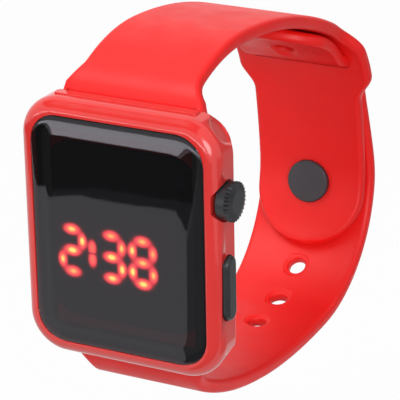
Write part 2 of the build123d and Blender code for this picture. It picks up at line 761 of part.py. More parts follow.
def colon_bars():
    half = COLON_SPREAD / 2
    return [(COLON_X, DIGIT_MIDDLE_Z + half * up, COLON_LENGTH, 90) for up in (1, -1)]


MINUTES_X = DIGIT_RIGHT_X - DIGIT_PITCH
LIT_BARS = (
    digit_bars(HOURS_X, "abged")
    + colon_bars()
    + digit_bars(MINUTES_X, "abgcd")
    + digit_bars(DIGIT_RIGHT_X, "abcdefg")
)
DARK_BARS = (
    digit_bars(TENS_X - (DIGIT_WIDTH - BAR_THICKNESS) / 2, "bc")
    + digit_bars(HOURS_X, "cf")
    + digit_bars(MINUTES_X, "ef")
)


def bar_solids(bars, gap, front, rear):
    solids = []
    for x, z, length, turn in bars:
        outline = SlotOverall(length + 2 * gap, BAR_THICKNESS + 2 * gap, rotation=turn)
        solids.append(Pos(x, 0, z) * slab(outline, front, rear))
    return solids


def make_mask():
    """Black moulding with a well for each light bar."""
    trim = 2 * MASK_CLEARANCE
    outline = rounded(CAVITY_WIDTH - trim, CAVITY_HEIGHT - trim, CAVITY_CORNER - MASK_CLEARANCE)
    mask = slab(outline, MASK_FRONT, BOARD_FRONT)
    front = MASK_FRONT - OVERRUN
    rear = BOARD_FRONT + OVERRUN
    for well in bar_solids(LIT_BARS + DARK_BARS, BAR_CLEARANCE, front, rear):
        mask = mask - well
    return mask - switch_notch(CROWN_Z) - switch_notch(BUTTON_Z)


def make_board():
    trim = 2 * BOARD_CLEARANCE
    outline = rounded(CAVITY_WIDTH - trim, CAVITY_HEIGHT - trim, CAVITY_CORNER - BOARD_CLEARANCE)
    board = slab(outline, BOARD_FRONT, BOARD_REAR)
    for z in (CROWN_Z, BUTTON_Z):
        heights = (z - BOARD_NOTCH_RISE, z + BOARD_NOTCH_RISE)
        board = board - block((SWITCH_KEY_X, CAVITY_SIDE), (BOARD_FRONT, BOARD_REAR), heights)
    return board


BATTERY_TOP = BATTERY_Z + BATTERY_DIAMETER / 2 + BATTERY_CLEARANCE
POCKET_Z = BATTERY_TOP + PARTS_POCKET_GAP + PARTS_POCKET_HEIGHT / 2


def make_module_frame():
    """Moulding behind the board, with the battery well and room for the parts."""
    trim = 2 * FRAME_CLEARANCE
    outline = rounded(CAVITY_WIDTH - trim, CAVITY_HEIGHT - trim, CAVITY_CORNER - FRAME_CLEARANCE)
    frame = slab(outline, BOARD_REAR, COVER_SEAT - FRAME_SLACK)
    front = BOARD_REAR - OVERRUN
    well = BATTERY_DIAMETER + 2 * BATTERY_CLEARANCE
    frame = frame - post(well, front, OVERRUN, 0, BATTERY_Z)
    half = PARTS_POCKET_WIDTH / 2
    rise = PARTS_POCKET_HEIGHT / 2
    frame = frame - block((-half, half), (front, OVERRUN), (POCKET_Z - rise, POCKET_Z + rise))
    gap = CLIP_SLOT_GAP
    reach = CLIP_STRIP_SPAN / 2 + gap
    high = CLIP_STRIP_WIDTH / 2 + gap
    heights = (BATTERY_Z - high, BATTERY_Z + high)
    frame = frame - block((-reach, reach), (BATTERY_REAR - gap, OVERRUN), heights)
    leg = CLIP_STRIP_SPAN / 2 - CLIP_STRIP_THICKNESS - gap
    for low, top in ((leg, reach), (-reach, -leg)):
        frame = frame - block((low, top), (front, OVERRUN), heights)
    return frame


def make_battery():
    can = post(BATTERY_DIAMETER, BATTERY_FRONT + BATTERY_CAP_HEIGHT, BATTERY_REAR, 0, BATTERY_Z)
    cap = BATTERY_DIAMETER - 2 * BATTERY_CAP_STEP
    return can + post(cap, BATTERY_FRONT, BATTERY_REAR, 0, BATTERY_Z)


def make_battery_clip():
    """Sprung strip over the battery, with a leg at each end down to the board."""
    reach = CLIP_STRIP_SPAN / 2
    half = CLIP_STRIP_WIDTH / 2
    rear = BATTERY_REAR + CLIP_STRIP_THICKNESS
    heights = (BATTERY_Z - half, BATTERY_Z + half)
    clip = block((-reach, reach), (BATTERY_REAR, rear), heights)
    leg = reach - CLIP_STRIP_THICKNESS
    for low, top in ((leg, reach), (-reach, -leg)):
        clip = clip + block((low, top), (BOARD_REAR, rear), heights)
    return clip


def make_controller():
    chip_x = CHIP_X_SHARE * PARTS_POCKET_WIDTH
    return post(CHIP_DIAMETER, BOARD_REAR, BOARD_REAR + CHIP_HEIGHT, chip_x, POCKET_Z)


def make_crystal():
    z = POCKET_Z + CRYSTAL_Z_SHARE * PARTS_POCKET_HEIGHT
    y = BOARD_REAR + CRYSTAL_DIAMETER / 2
    return rod(CRYSTAL_DIAMETER, RESISTOR_PITCH, RESISTOR_PITCH + CRYSTAL_LENGTH, y, z)


def make_resistors():
    z = POCKET_Z + RESISTOR_Z_SHARE * PARTS_POCKET_HEIGHT
    depth = (BOARD_REAR, BOARD_REAR + RESISTOR_HEIGHT)
    heights = (z - RESISTOR_LENGTH / 2, z + RESISTOR_LENGTH / 2)
    chips = []
    for index in range(1, RESISTOR_COUNT + 1):
        x = index * RESISTOR_PITCH
        chips.append(block((x, x + RESISTOR_WIDTH), depth, heights))
    return Compound(children=chips)


def make_back_cover():
    cover = slab(rounded(COVER_WIDTH, COVER_HEIGHT, COVER_CORNER), COVER_SEAT, 0)
    cover = fillet(cover.edges().group_by(Axis.Y)[-1], COVER_ROUND)
    for x, z in screw_places():
        head = SCREW_HEAD_DIAMETER + 2 * SCREW_CLEARANCE
        cover = cover - post(head, -SCREW_HEAD_HEIGHT, OVERRUN, x, z)
        hole = SCREW_DIAMETER + 2 * SCREW_CLEARANCE
        cover = cover - post(hole, COVER_SEAT - OVERRUN, OVERRUN, x, z)
    return cover


def make_back_screws():
    screws = []
    for x, z in screw_places():
        screw = post(SCREW_DIAMETER, -SCREW_LENGTH, 0, x, z)
        screw = screw + post(SCREW_HEAD_DIAMETER, -SCREW_HEAD_HEIGHT, 0, x, z)
        wide = SCREW_HEAD_DIAMETER
        half = SCREW_SLOT_WIDTH / 2
        slot = block((x - wide, x + wide), (-SCREW_SLOT_DEPTH, OVERRUN), (z - half, z + half))
        screws.append(screw - slot)
    return Compound(children=screws)


def toothed_outline(diameter, height):
    """Round outline with pointed teeth, as deep for its size as the knob's own."""
    points = []
    for index in range(2 * CROWN_TEETH):
        depth = CROWN_TOOTH_DEPTH * (index % 2)
        radius = diameter / 2 * (1 - 2 * depth / CROWN_DIAMETER)
        angle = math.pi * index / CROWN_TEETH
        points.append((radius * math.cos(angle), radius * math.sin(angle)))
    return Pos(0, 0, height) * make_face(Polyline(*points, close=True))


def make_crown_knob():
    """Knob with a plain collar, a toothed barrel and bevel, and a hollow for its spring."""
    barrel = CROWN_LENGTH - CROWN_BEVEL
    rim = toothed_outline(CROWN_DIAMETER, barrel)
    face = toothed_outline(CROWN_FLAT_DIAMETER, CROWN_LENGTH)
    root = (CROWN_DIAMETER - CROWN_TOOTH_DEPTH) / 2
    collar = Cylinder(root, CROWN_COLLAR, align=(Align.CENTER, Align.CENTER, Align.MIN))
    teeth = extrude(toothed_outline(CROWN_DIAMETER, CROWN_COLLAR), barrel - CROWN_COLLAR)
    knob = collar + teeth + loft([rim, face], ruled=True)
    knob = Pos(CROWN_BASE, CROWN_Y, CROWN_Z) * Rot(0, 90, 0) * knob
    return knob - cap_hollow(CROWN_BASE, CROWN_Y, CROWN_Z)


def cap_hollow(base, y, z):
    """Spring hollow in a cap's inner end, and the socket for its stem."""
    top = base + CAP_HOLLOW_DEPTH
    hollow = rod(CAP_HOLLOW_DIAMETER, base - OVERRUN, top, y, z)
    return hollow + rod(STEM_DIAMETER, top, top + STEM_SOCKET_DEPTH, y, z)


def make_button_cap():
    length = BUTTON_PROUD + BUTTON_SKIRT
    cap = extrude(button_outline(0), length)
    cap = fillet(cap.edges().group_by(Axis.X)[-1], BUTTON_ROUND)
    cap = Pos(BUTTON_BASE, BUTTON_Y, BUTTON_Z) * cap
    return cap - cap_hollow(BUTTON_BASE, BUTTON_Y, BUTTON_Z)


def make_bar_tube(side):
    z = side * BAR_AXIS_Z
    tube = rod(TUBE_DIAMETER, -TUBE_END, TUBE_END, BAR_Y, z)
    inner = TUBE_END - TUBE_LIP
    tube = tube - rod(TUBE_BORE, -inner, inner, BAR_Y, z)
    return tube - rod(NOSE_DIAMETER + 2 * RUNNING_GAP, -RECESS_WIDTH, RECESS_WIDTH, BAR_Y, z)


TIP_SHOULDER = TUBE_END - TUBE_LIP - RUNNING_GAP


def make_bar_tip(side, hand):
    """Stepped plunger of a spring bar; hand is 1 for the right end and -1 for the left."""
    z = side * BAR_AXIS_Z
    shoulder = rod(TIP_DIAMETER, TIP_SHOULDER - TIP_LENGTH, TIP_SHOULDER, BAR_Y, z)
    tip = shoulder + rod(NOSE_DIAMETER, TIP_SHOULDER, NOSE_END, BAR_Y, z)
    if hand > 0:
        return tip
    return mirror(tip, about=Plane.YZ)


def make_bar_spring(side):
    reach = TIP_SHOULDER - TIP_LENGTH
    z = side * BAR_AXIS_Z
    return helix_spring(BAR_SPRING_WIRE, TIP_DIAMETER, BAR_SPRING_TURNS, -reach, reach, BAR_Y, z)


def make_cap_spring(floor, base, y, z):
    top = base + CAP_HOLLOW_DEPTH
    return helix_spring(SPRING_WIRE, SPRING_DIAMETER, SPRING_TURNS, floor, top, y, z)


KEY_STOP = SWITCH_KEY_X + SWITCH_STOP_GAP
CROWN_STEM_END = CROWN_BASE + CAP_HOLLOW_DEPTH + STEM_SOCKET_DEPTH
BUTTON_STEM_END = BUTTON_BASE + CAP_HOLLOW_DEPTH + STEM_SOCKET_DEPTH
DARK_DEPTH = (MASK_FRONT, BOARD_FRONT)

PARTS = {
    "case_shell": make_case_shell(),
    "lens": make_lens(),
    "lens_tape": make_tape(),
    "display_mask": make_mask(),
    "digit_bars_lit": Compound(children=bar_solids(LIT_BARS, 0, *DARK_DEPTH)),
    "digit_bars_dark": Compound(children=bar_solids(DARK_BARS, 0, *DARK_DEPTH)),
    "circuit_board": make_board(),
    "controller_chip": make_controller(),
    "quartz_crystal": make_crystal(),
    "board_resistors": make_resistors(),
    "crown_switch": make_switch(CROWN_Y, CROWN_Z),
    "button_switch": make_switch(BUTTON_Y, BUTTON_Z),
    "module_frame": make_module_frame(),
    "battery": make_battery(),
    "battery_leaf": post(LEAF_DIAMETER, BOARD_REAR, BATTERY_FRONT, 0, BATTERY_Z),
    "battery_clip": make_battery_clip(),
    "back_gasket": gasket_ring(0, COVER_SEAT),
    "back_cover": make_back_cover(),
    "back_screws": make_back_screws(),
    "crown_knob": make_crown_knob(),
    "crown_stem": make_stem(KEY_STOP + CROWN_TRAVEL, CROWN_STEM_END, CROWN_Y, CROWN_Z),
    "crown_clip": make_clip(CROWN_Y, CROWN_Z),
    "crown_spring": make_cap_spring(CROWN_FLOOR, CROWN_BASE, CROWN_Y, CROWN_Z),
    "crown_seal": make_seal(CROWN_FLOOR, CROWN_Y, CROWN_Z),
    "button_cap": make_button_cap(),
    "button_stem": make_stem(KEY_STOP + BUTTON_TRAVEL, BUTTON_STEM_END, BUTTON_Y, BUTTON_Z),
    "button_clip": make_clip(BUTTON_Y, BUTTON_Z),
    "button_spring": make_cap_spring(BUTTON_FLOOR, BUTTON_BASE, BUTTON_Y, BUTTON_Z),
    "button_seal": make_seal(BUTTON_FLOOR, BUTTON_Y, BUTTON_Z),
    "pin_strap": make_pin_strap(),
    "tail_strap": make_tail_strap(),
    "stud_base": make_stud_base(),
    "stud_pin": make_stud_pin(),
}
for NAME, SIDE in (("top", 1), ("bottom", -1)):
    PARTS[NAME + "_bar_tube"] = make_bar_tube(SIDE)
    PARTS[NAME + "_bar_spring"] = make_bar_spring(SIDE)
    PARTS[NAME + "_bar_tip_right"] = make_bar_tip(SIDE, 1)
    PARTS[NAME + "_bar_tip_left"] = make_bar_tip(SIDE, -1)

os.makedirs("parts", exist_ok=True)
for NAME, SHAPE in PARTS.items():
    export_step(SHAPE, "parts/" + NAME + ".step")
print(len(PARTS), "nodes written")
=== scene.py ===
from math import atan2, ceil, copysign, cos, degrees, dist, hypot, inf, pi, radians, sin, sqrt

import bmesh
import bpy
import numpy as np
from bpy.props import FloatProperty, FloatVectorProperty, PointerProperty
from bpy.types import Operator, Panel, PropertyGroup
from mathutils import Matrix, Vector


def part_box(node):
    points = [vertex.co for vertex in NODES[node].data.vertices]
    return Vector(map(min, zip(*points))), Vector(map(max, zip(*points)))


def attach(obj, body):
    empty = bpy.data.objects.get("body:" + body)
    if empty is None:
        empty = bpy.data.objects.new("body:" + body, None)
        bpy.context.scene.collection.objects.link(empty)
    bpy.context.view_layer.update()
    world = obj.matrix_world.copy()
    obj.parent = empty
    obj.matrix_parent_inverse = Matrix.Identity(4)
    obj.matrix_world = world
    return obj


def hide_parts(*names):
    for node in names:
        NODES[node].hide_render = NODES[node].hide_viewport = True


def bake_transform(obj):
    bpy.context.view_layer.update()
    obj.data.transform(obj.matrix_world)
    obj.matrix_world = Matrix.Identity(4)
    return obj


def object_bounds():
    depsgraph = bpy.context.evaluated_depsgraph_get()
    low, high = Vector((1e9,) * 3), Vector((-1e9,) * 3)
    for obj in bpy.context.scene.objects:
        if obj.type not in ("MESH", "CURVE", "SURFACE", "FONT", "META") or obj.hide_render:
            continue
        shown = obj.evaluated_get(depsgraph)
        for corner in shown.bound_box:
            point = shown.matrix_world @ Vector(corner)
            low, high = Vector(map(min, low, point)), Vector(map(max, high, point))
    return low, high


bl_info = {
    "name": "LED Watch",
    "version": (1, 0, 0),
    "blender": (4, 5, 0),
    "location": "View3D > Sidebar > LED Watch",
    "description": "Surfaces, strap, window and glowing digits for the packed model of a digital watch",
    "category": "Object",
}

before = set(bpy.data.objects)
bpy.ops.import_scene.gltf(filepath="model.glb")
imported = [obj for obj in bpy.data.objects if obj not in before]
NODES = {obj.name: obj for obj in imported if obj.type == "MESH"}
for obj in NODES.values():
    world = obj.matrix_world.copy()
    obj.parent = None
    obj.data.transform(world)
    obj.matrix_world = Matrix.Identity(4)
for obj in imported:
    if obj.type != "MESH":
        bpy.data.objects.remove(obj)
CAD_BOX = [list(corner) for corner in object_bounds()]
MM = 0.001

# Places read from the frame
CASE_LOW, CASE_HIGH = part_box("case_shell")
LENS_LOW, LENS_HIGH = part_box("lens")
BARS_LOW, BARS_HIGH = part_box("digit_bars_lit")
TUBE_LOW, TUBE_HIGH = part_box("top_bar_tube")
BAR_Y = (TUBE_LOW.y + TUBE_HIGH.y) / 2
BAR_Z = (TUBE_LOW.z + TUBE_HIGH.z) / 2

# The strap's centre lines: radii, and turns in degrees, from each spring bar outwards
PIN_RISE = 0.834 * MM
PIN_RADII = (4.08 * MM, 32.3 * MM, 88.3 * MM, 20.0 * MM, 130.0 * MM, 20.3 * MM)
PIN_TURNS = (63.5, 28.9, 22.4, 53.7, 6.7, 52.0)
TAIL_DROP = 1.9 * MM
TAIL_RADII = (6.63 * MM, 55.0 * MM)
TAIL_TURNS = (62.0, 13.5)

# Stations of the stud and the slot along the pin half, and where both halves end
STUD_STATION = 94.53 * MM
SLOT_STATION = 69.23 * MM
SLOT_BEND = 10.0 * MM
PIN_END = 106.53 * MM
TAIL_PAST_STUD = 46.3 * MM

# Room between the two halves, and between the tail and its slot
STRAP_GAP = 0.42 * MM
SLOT_SIDE_GAP = 0.08 * MM
SLOT_CLEARANCE = 0.07 * MM
SLOT_EDGE = 1.0 * MM

# Lengths over which the strap changes its width, or its thickness next to the case
ROOT_STATION = 2.5 * MM
SHOULDER_RUN = 4.6 * MM
ROOT_SWELL = 0.35 * MM
ROOT_SWELL_RUN = 7.0 * MM
KEEPER_RISE = 7.0 * MM
KEEPER_FALL = 5.0 * MM
KEEPER_LAND = 3.0 * MM
PIN_TIP = 10.3 * MM
TAIL_TIP = 7.0 * MM
TAIL_GROWTH = 45.0 * MM
TAIL_TAPER = 22.0 * MM

# Spacing of a strap's rows of points, and its limits at the very end of the tip
ROW_STEP = 0.8 * MM
TUCKED_STEP = 0.5 * MM
TIP_ROWS = 14
TIP_END_GAP = 0.004 * MM
LEAST_SHARE = 1e-9

# Columns across a strap, as shares of its half width, close together at its rounded edges
COLUMN_SHARES = (1.0, 0.997, 0.988, 0.974, 0.955, 0.93, 0.9, 0.8, 0.6, 0.4, 0.2)

# The narrow tongue in the case's recess, and the shoulders that rest on the case's end
CASE_CORNER = 6.6 * MM
TONGUE_STEP = 0.05 * MM
TONGUE_SIDE_GAP = 0.1 * MM
RECESS_WIDTH = 23.0 * MM
TONGUE_WIDTH = RECESS_WIDTH - 2 * TONGUE_SIDE_GAP
SHOULDER_GAP = 0.02 * MM
REST_RUN = 3.0 * MM
FLANK_REAR_Y = CASE_LOW.y + 5.0 * MM
REAR_SLOPE = 0.58

# The round end on the spring bar, the openings of the strap, and the stud's seat
KNUCKLE_DIAMETER = 2.7 * MM
KNUCKLE_SOFT = 0.2 * MM
BORE_DIAMETER = 1.6 * MM
HOLE_PITCH = 8.85 * MM
HOLES_EACH_SIDE = 4
HOLE_SOFT = 0.12 * MM
NECK_RADIUS = 1.22 * MM
SEAT_RADIUS = 3.92 * MM
SEAT_FLOOR = 0.75 * MM
CUT_REACH = 3 * MM

# Merging of vertices, and shading: an edge that bends by more than these degrees stays crisp
MERGE_DISTANCE = 0.002 * MM
CREASE_DEGREES = 35
CASE_CREASE_DEGREES = 30
WINDOW_CREASE_DEGREES = 60
NORMAL_WEIGHT = 80

# Points round a turned form, by its size
SMALL_ROUND = 32
HOLE_ROUND = 40
KNUCKLE_ROUND = 48
LARGE_ROUND = 64

# The scoops at the case's corners, angles in degrees, and the bands on its ends
SCOOP_ANGLE = 39.0
SCOOP_LEAN = 14.0
SCOOP_WALL = 1.6 * MM
SCOOP_STEPS = 10
FLAT_DEGREES = 1.0
BAND_SUNK = 0.4 * MM
BAND_CORNER = 0.6 * MM
BAND_STEPS = (8, 4)

# The window: how far its rim starts behind the case's front, and the rows of its face
WINDOW_SUNK = 0.1 * MM
WINDOW_CORNER_SHARE = 0.8
WINDOW_SHOULDER_STEPS = 10
WINDOW_SLOPE_STEPS = 4
WINDOW_FACE_STEPS = 10
WINDOW_MIDDLE_SHARE = 0.6
BORDER_CORNER = 0.5 * MM
REAR_FACE_SLACK = 0.001 * MM

# The display: X of each digit's middle and its lit bars by the usual seven letters
DIGIT_WIDTH = 4.6 * MM
DIGIT_HEIGHT = 8.1 * MM
DIGIT_MIDDLE_Z = -3.7 * MM
BAR_THICKNESS = 0.95 * MM
COLON_X = -5.6 * MM
COLON_SPREAD = 2.1 * MM
LIT_DIGITS = ((-9.2 * MM, "abged"), (-2.14 * MM, "abgcd"), (3.4 * MM, "abcdefg"))
FILM_MARGIN = 3 * MM
FILM_STEP = 0.15 * MM
FILM_GAP = 0.04 * MM

# Places of a digit's bars, as shares of the way in X and Z from its middle to its outermost bars
BAR_SHARES = {
    "a": (0, 1),
    "b": (1, 0.5),
    "c": (1, -0.5),
    "d": (0, -1),
    "e": (-1, -0.5),
    "f": (-1, 0.5),
    "g": (0, 0),
}

# How far a bar's light spreads along and across it in the film, for level and upright bars
GLOW_LEVEL = (1.42 * MM, 0.9 * MM)
GLOW_UPRIGHT = (1.26 * MM, 0.76 * MM)
GLOW_FALL = 1.25
BAR_BRIGHTNESS = 0.93
BAR_UNEVENNESS = 0.07
BAR_PHASE = 7.3
COLON_SHARE = 0.72
COLON_SPLIT = 0.16 * MM
COLON_SPLIT_SHARE = 0.6

# Colours of the glow from its rim to its hottest part
GLOW_STOPS = (
    (0.0, "000000"),
    (0.1, "2A0204"),
    (0.22, "701419"),
    (0.36, "D42A34"),
    (0.55, "F74A52"),
    (0.72, "FF6450"),
    (0.84, "FF9C58"),
    (0.95, "FFDC72"),
)

# The floor: room under the watch for the swinging tail half, half its side in metres, and its white
FLOOR_DROP = 32 * MM
FLOOR_HALF_SIDE = 2.0
FLOOR_WHITE = 1.08
FLOOR_WHITE_SHARE = 0.88

# Area lights: place and size in metres
KEY_LIGHT = ((-0.25, -0.25, 0.75), 0.6)
FILL_LIGHT = ((0.55, -0.7, 0.25), 0.5)
LIGHT_AIM = (0, 0.025, 0)

# Cards, in metres: three lie level under the watch, one hangs, one stands in front and one behind
CARD_Z = CAD_BOX[0][2]
CEILING_Z = 0.27
STRIP_Y = -0.6
BACK_Y = 0.35
FRONT_CORNERS = (
    (-0.3, 0.06),
    (-0.096, -0.079),
    (-0.062, -0.104),
    (0.003, -0.106),
    (0.003, -0.46),
    (-0.5, -0.46),
)
RIGHT_CORNERS = ((0.0032, -0.02), (0.1, -0.02), (0.1, -0.46), (0.0032, -0.46))
SIDE_CORNERS = ((0.035, -0.008), (0.4, -0.1), (0.4, 0.6), (0.05, 0.6), (0.035, 0.02))
CEILING_CORNERS = ((-0.4, -0.38), (0.1, -0.38), (0.1, 0.015), (-0.4, 0.015))
STRIP_CORNERS = ((-0.9, -0.026), (0.2, -0.026), (0.2, 0.045), (-0.9, 0.045))
BACK_CORNERS = ((0.025, -0.04), (0.5, -0.04), (0.5, 0.42), (0.025, 0.42))

# Each card's name, its brightness against white, and its corners
CARDS = (
    ("Dark front of the room", 0.1, [(x, y, CARD_Z) for x, y in FRONT_CORNERS]),
    ("Dim front right", 0.3, [(x, y, CARD_Z) for x, y in RIGHT_CORNERS]),
    ("Dim side of the room", 0.42, [(x, y, CARD_Z) for x, y in SIDE_CORNERS]),
    ("Dark ceiling", 0.05, [(x, y, CEILING_Z) for x, y in CEILING_CORNERS]),
    ("Strip light", 4.4, [(x, STRIP_Y, z) for x, z in STRIP_CORNERS]),
    ("Dim back right", 0.22, [(x, BACK_Y, z) for x, z in BACK_CORNERS]),
)

# Camera, fitted to the photograph: angles in degrees, lengths in metres
CAMERA_AZIMUTH = 27.905
CAMERA_ELEVATION = 21.537
CAMERA_ROLL = -1.1235
CAMERA_FOCAL_PIXELS = 2317.2
CAMERA_RIGHT = 12.656 * MM
CAMERA_UP = 6.351 * MM
CAMERA_DISTANCE = 357.58 * MM
CAMERA_CLIP = (0.01, 10)
PHOTO_SIDE_PIXELS = 400
SENSOR_WIDTH_MM = 36.0


def linear(colour):
    """Linear RGBA of an sRGB hex colour."""
    channels = [int(colour[index : index + 2], 16) / 255 for index in (0, 2, 4)]
    out = [value / 12.92 if value <= 0.04045 else ((value + 0.055) / 1.055) ** 2.4 for value in channels]
    return (*out, 1.0)


WHITE = linear("FFFFFF")
STRAP_FINISH = "Strap silicone, moulded"
CASE_FINISH = "Housing, glossy ABS"


# Materials. Each starts from the real material and how its surface was made.
def new_tree(owner, kind="OutputMaterial"):
    """Empties an owner's node tree, adds its output as the first node, and gives the tree."""
    owner.use_nodes = True
    owner.node_tree.nodes.clear()
    owner.node_tree.nodes.new("ShaderNode" + kind)
    return owner.node_tree


def new_material(name):
    material = bpy.data.materials.new(name)
    return material, new_tree(material)


def feed(tree, kind, output, inputs=None, **settings):
    """Adds a node and gives one of its outputs. An input is a value, or the output that feeds it."""
    node = tree.nodes.new("ShaderNode" + kind)
    for key, value in settings.items():
        setattr(node, key, value)
    for key, value in (inputs or {}).items():
        if isinstance(value, bpy.types.NodeSocket):
            tree.links.new(value, node.inputs[key])
        else:
            node.inputs[key].default_value = value
    return node.outputs[output]


def set_surface(tree, source):
    tree.links.new(source, tree.nodes[0].inputs["Surface"])


def add_shader(tree, **sockets):
    """Adds the principled shader. An underscore stands for each space in a socket's name."""
    inputs = {key.replace("_", " "): value for key, value in sockets.items()}
    set_surface(tree, feed(tree, "BsdfPrincipled", "BSDF", inputs))


def position(tree):
    return feed(tree, "TexCoord", "Object")


def noise(tree, size, detail=2.0, coordinates=None):
    """Noise whose features are about size metres across."""
    source = coordinates or position(tree)
    return feed(tree, "TexNoise", "Fac", {"Scale": 1 / size, "Detail": detail, "Vector": source})


def spread(tree, source, low, high):
    """Turns a 0.3 to 0.7 noise value into low to high."""
    limits = {"From Min": 0.3, "From Max": 0.7, "To Min": low, "To Max": high}
    return feed(tree, "MapRange", "Result", {"Value": source, **limits})


def bump(tree, source, height, strength, under=None):
    """Normals of a relief of height metres, on top of the relief under it."""
    inputs = {"Height": source, "Distance": height, "Strength": strength}
    if under is not None:
        inputs["Normal"] = under
    return feed(tree, "Bump", "Normal", inputs)


def tint(tree, source, dark, light):
    """A colour between two linear colours."""
    return feed(tree, "Mix", 2, {0: source, 6: dark, 7: light}, data_type="RGBA")


def tones(tree, source, colour, dark, light):
    """A colour that wanders with a noise value between a dark and a light share of itself."""
    ends = [(*[channel * share for channel in colour[:3]], 1.0) for share in (dark, light)]
    return tint(tree, spread(tree, source, 0.0, 1.0), *ends)


def silicone(colour):
    """Moulded silicone: satin, slightly uneven sheen, a fine mould texture and a little depth of colour."""
    material, tree = new_material(STRAP_FINISH)
    # The mould's spark texture is about 0.05 mm; it is drawn at 0.25 mm so that it shows.
    grain = bump(tree, noise(tree, 0.25 * MM, 3.0), 0.004 * MM, 0.6)
    add_shader(
        tree,
        Base_Color=tones(tree, noise(tree, 9 * MM), colour, 0.96, 1.03),
        Roughness=spread(tree, noise(tree, 4 * MM, 3.0), 0.42, 0.52),
        Normal=bump(tree, noise(tree, 6 * MM), 0.03 * MM, 0.5, grain),
        IOR=1.43,
        Subsurface_Weight=0.12,
        Subsurface_Scale=1.2 * MM,
        Subsurface_Radius=(1.0, 0.25, 0.2),
    )
    return material


def gloss_plastic(name, colour, roughness, coat):
    """Injection-moulded ABS from a polished mould: sharp highlights that wander a little."""
    material, tree = new_material(name)
    add_shader(
        tree,
        Base_Color=tones(tree, noise(tree, 12 * MM), colour, 0.97, 1.02),
        Roughness=spread(tree, noise(tree, 3 * MM, 4.0), roughness * 0.8, roughness * 1.3),
        Normal=bump(tree, noise(tree, 5 * MM), 0.02 * MM, 0.4),
        IOR=1.53,
        Coat_Weight=coat,
        Coat_Roughness=0.05,
    )
    return material


def satin_plastic(name, colour, roughness):
    """Injection-moulded plastic from a sparked mould: a fine even grain and a soft sheen."""
    material, tree = new_material(name)
    add_shader(
        tree,
        Base_Color=tones(tree, noise(tree, 2 * MM, 4.0), colour, 0.85, 1.12),
        Roughness=spread(tree, noise(tree, 1.5 * MM, 3.0), roughness * 0.88, roughness * 1.12),
        Normal=bump(tree, noise(tree, 0.2 * MM), 0.006 * MM, 0.8),
        IOR=1.5,
    )
    return material


def turned_metal(name, colour, roughness, stretch=(1.0, 1.0, 1.0)):
    """Metal with fine tool or brush lines, longest where stretch is smallest."""
    material, tree = new_material(name)
    stretched = feed(tree, "Mapping", "Vector", {"Scale": stretch, "Vector": position(tree)})
    lines = noise(tree, 0.08 * MM, 3.0, stretched)
    add_shader(
        tree,
        Base_Color=tones(tree, lines, colour, 0.82, 1.08),
        Roughness=spread(tree, lines, roughness * 0.75, roughness * 1.25),
        Normal=bump(tree, lines, 0.002 * MM, 0.5),
        Metallic=1.0,
    )
    return material


def smoked_acrylic(colour, see_through):
    """Cast acrylic, smoked nearly black and polished: a mirror-like face over a dim red glow."""
    material, tree = new_material("Window, smoked acrylic")
    add_shader(
        tree,
        Base_Color=tones(tree, noise(tree, 0.6 * MM, 4.0), colour, 0.9, 1.15),
        # A moulded window is never quite flat, which bends the edges of what it mirrors.
        Normal=bump(tree, noise(tree, 14 * MM, 1.0), 0.05 * MM, 0.35),
        Roughness=0.03,
        IOR=1.49,
        Alpha=1 - see_through,
        Coat_Weight=0.6,
        Coat_Roughness=0.03,
        Specular_Tint=linear("F4ECFF"),
    )
    return material


def glowing_film(strength):
    """Diffusing film over red light bars: each bar is hottest in its middle and soft at its rim."""
    material, tree = new_material("Display film, lit from behind")
    glow = feed(tree, "Attribute", "Fac", attribute_name="glow")
    ramp = feed(tree, "ValToRGB", "Color", {"Fac": glow})
    stops = ramp.node.color_ramp.elements
    while len(stops) < len(GLOW_STOPS):
        stops.new(0.5)
    for stop, (place, colour) in zip(stops, GLOW_STOPS):
        stop.position = place
        stop.color = linear(colour)
    dark = linear("0A0808")
    add_shader(tree, Emission_Color=ramp, Emission_Strength=strength, Roughness=0.6, Base_Color=dark)
    return material


def circuit_laminate():
    """Glass-fibre laminate under green solder mask, with the weave and tracks just showing."""
    material, tree = new_material("Circuit board, green solder mask")
    pattern = {"Scale": 1 / (2.4 * MM), "Distortion": 1.5, "Vector": position(tree)}
    weave = feed(tree, "TexWave", "Fac", pattern)
    base = tint(tree, weave, linear("0E4A26"), linear("1B6B38"))
    add_shader(tree, Base_Color=base, Normal=bump(tree, weave, 0.02 * MM, 0.4), Roughness=0.35, IOR=1.5)
    return material


# Objects and meshes
def add_object(name, data):
    thing = bpy.data.objects.new(name, data)
    bpy.context.scene.collection.objects.link(thing)
    return thing


def new_object(name, vertices, faces, smooth=True):
    mesh = bpy.data.meshes.new(name)
    mesh.from_pydata([tuple(vertex) for vertex in vertices], [], faces)
    mesh.update()
    if smooth:
        mesh.shade_smooth()
    return add_object(name, mesh)


def tidy_normals(thing):
    """Merges doubled vertices and turns all faces outwards."""
    builder = bmesh.new()
    builder.from_mesh(thing.data)
    bmesh.ops.remove_doubles(builder, verts=builder.verts, dist=MERGE_DISTANCE)
    bmesh.ops.recalc_face_normals(builder, faces=builder.faces)
    builder.to_mesh(thing.data)
    builder.free()
    thing.data.update()


def apply_modifiers(thing):
    """Replaces a mesh by what its modifiers make of it."""
    graph = bpy.context.evaluated_depsgraph_get()
    made = bpy.data.meshes.new_from_object(thing.evaluated_get(graph))
    thing.modifiers.clear()
    thing.data = made


def combine(thing, others, operation):
    """Cuts others from thing, or joins them to it, and deletes them."""
    for other in others:
        modifier = thing.modifiers.new(operation, "BOOLEAN")
        modifier.object = other
        modifier.operation = operation
        modifier.solver = "EXACT"
    apply_modifiers(thing)
    for other in others:
        bpy.data.objects.remove(other)


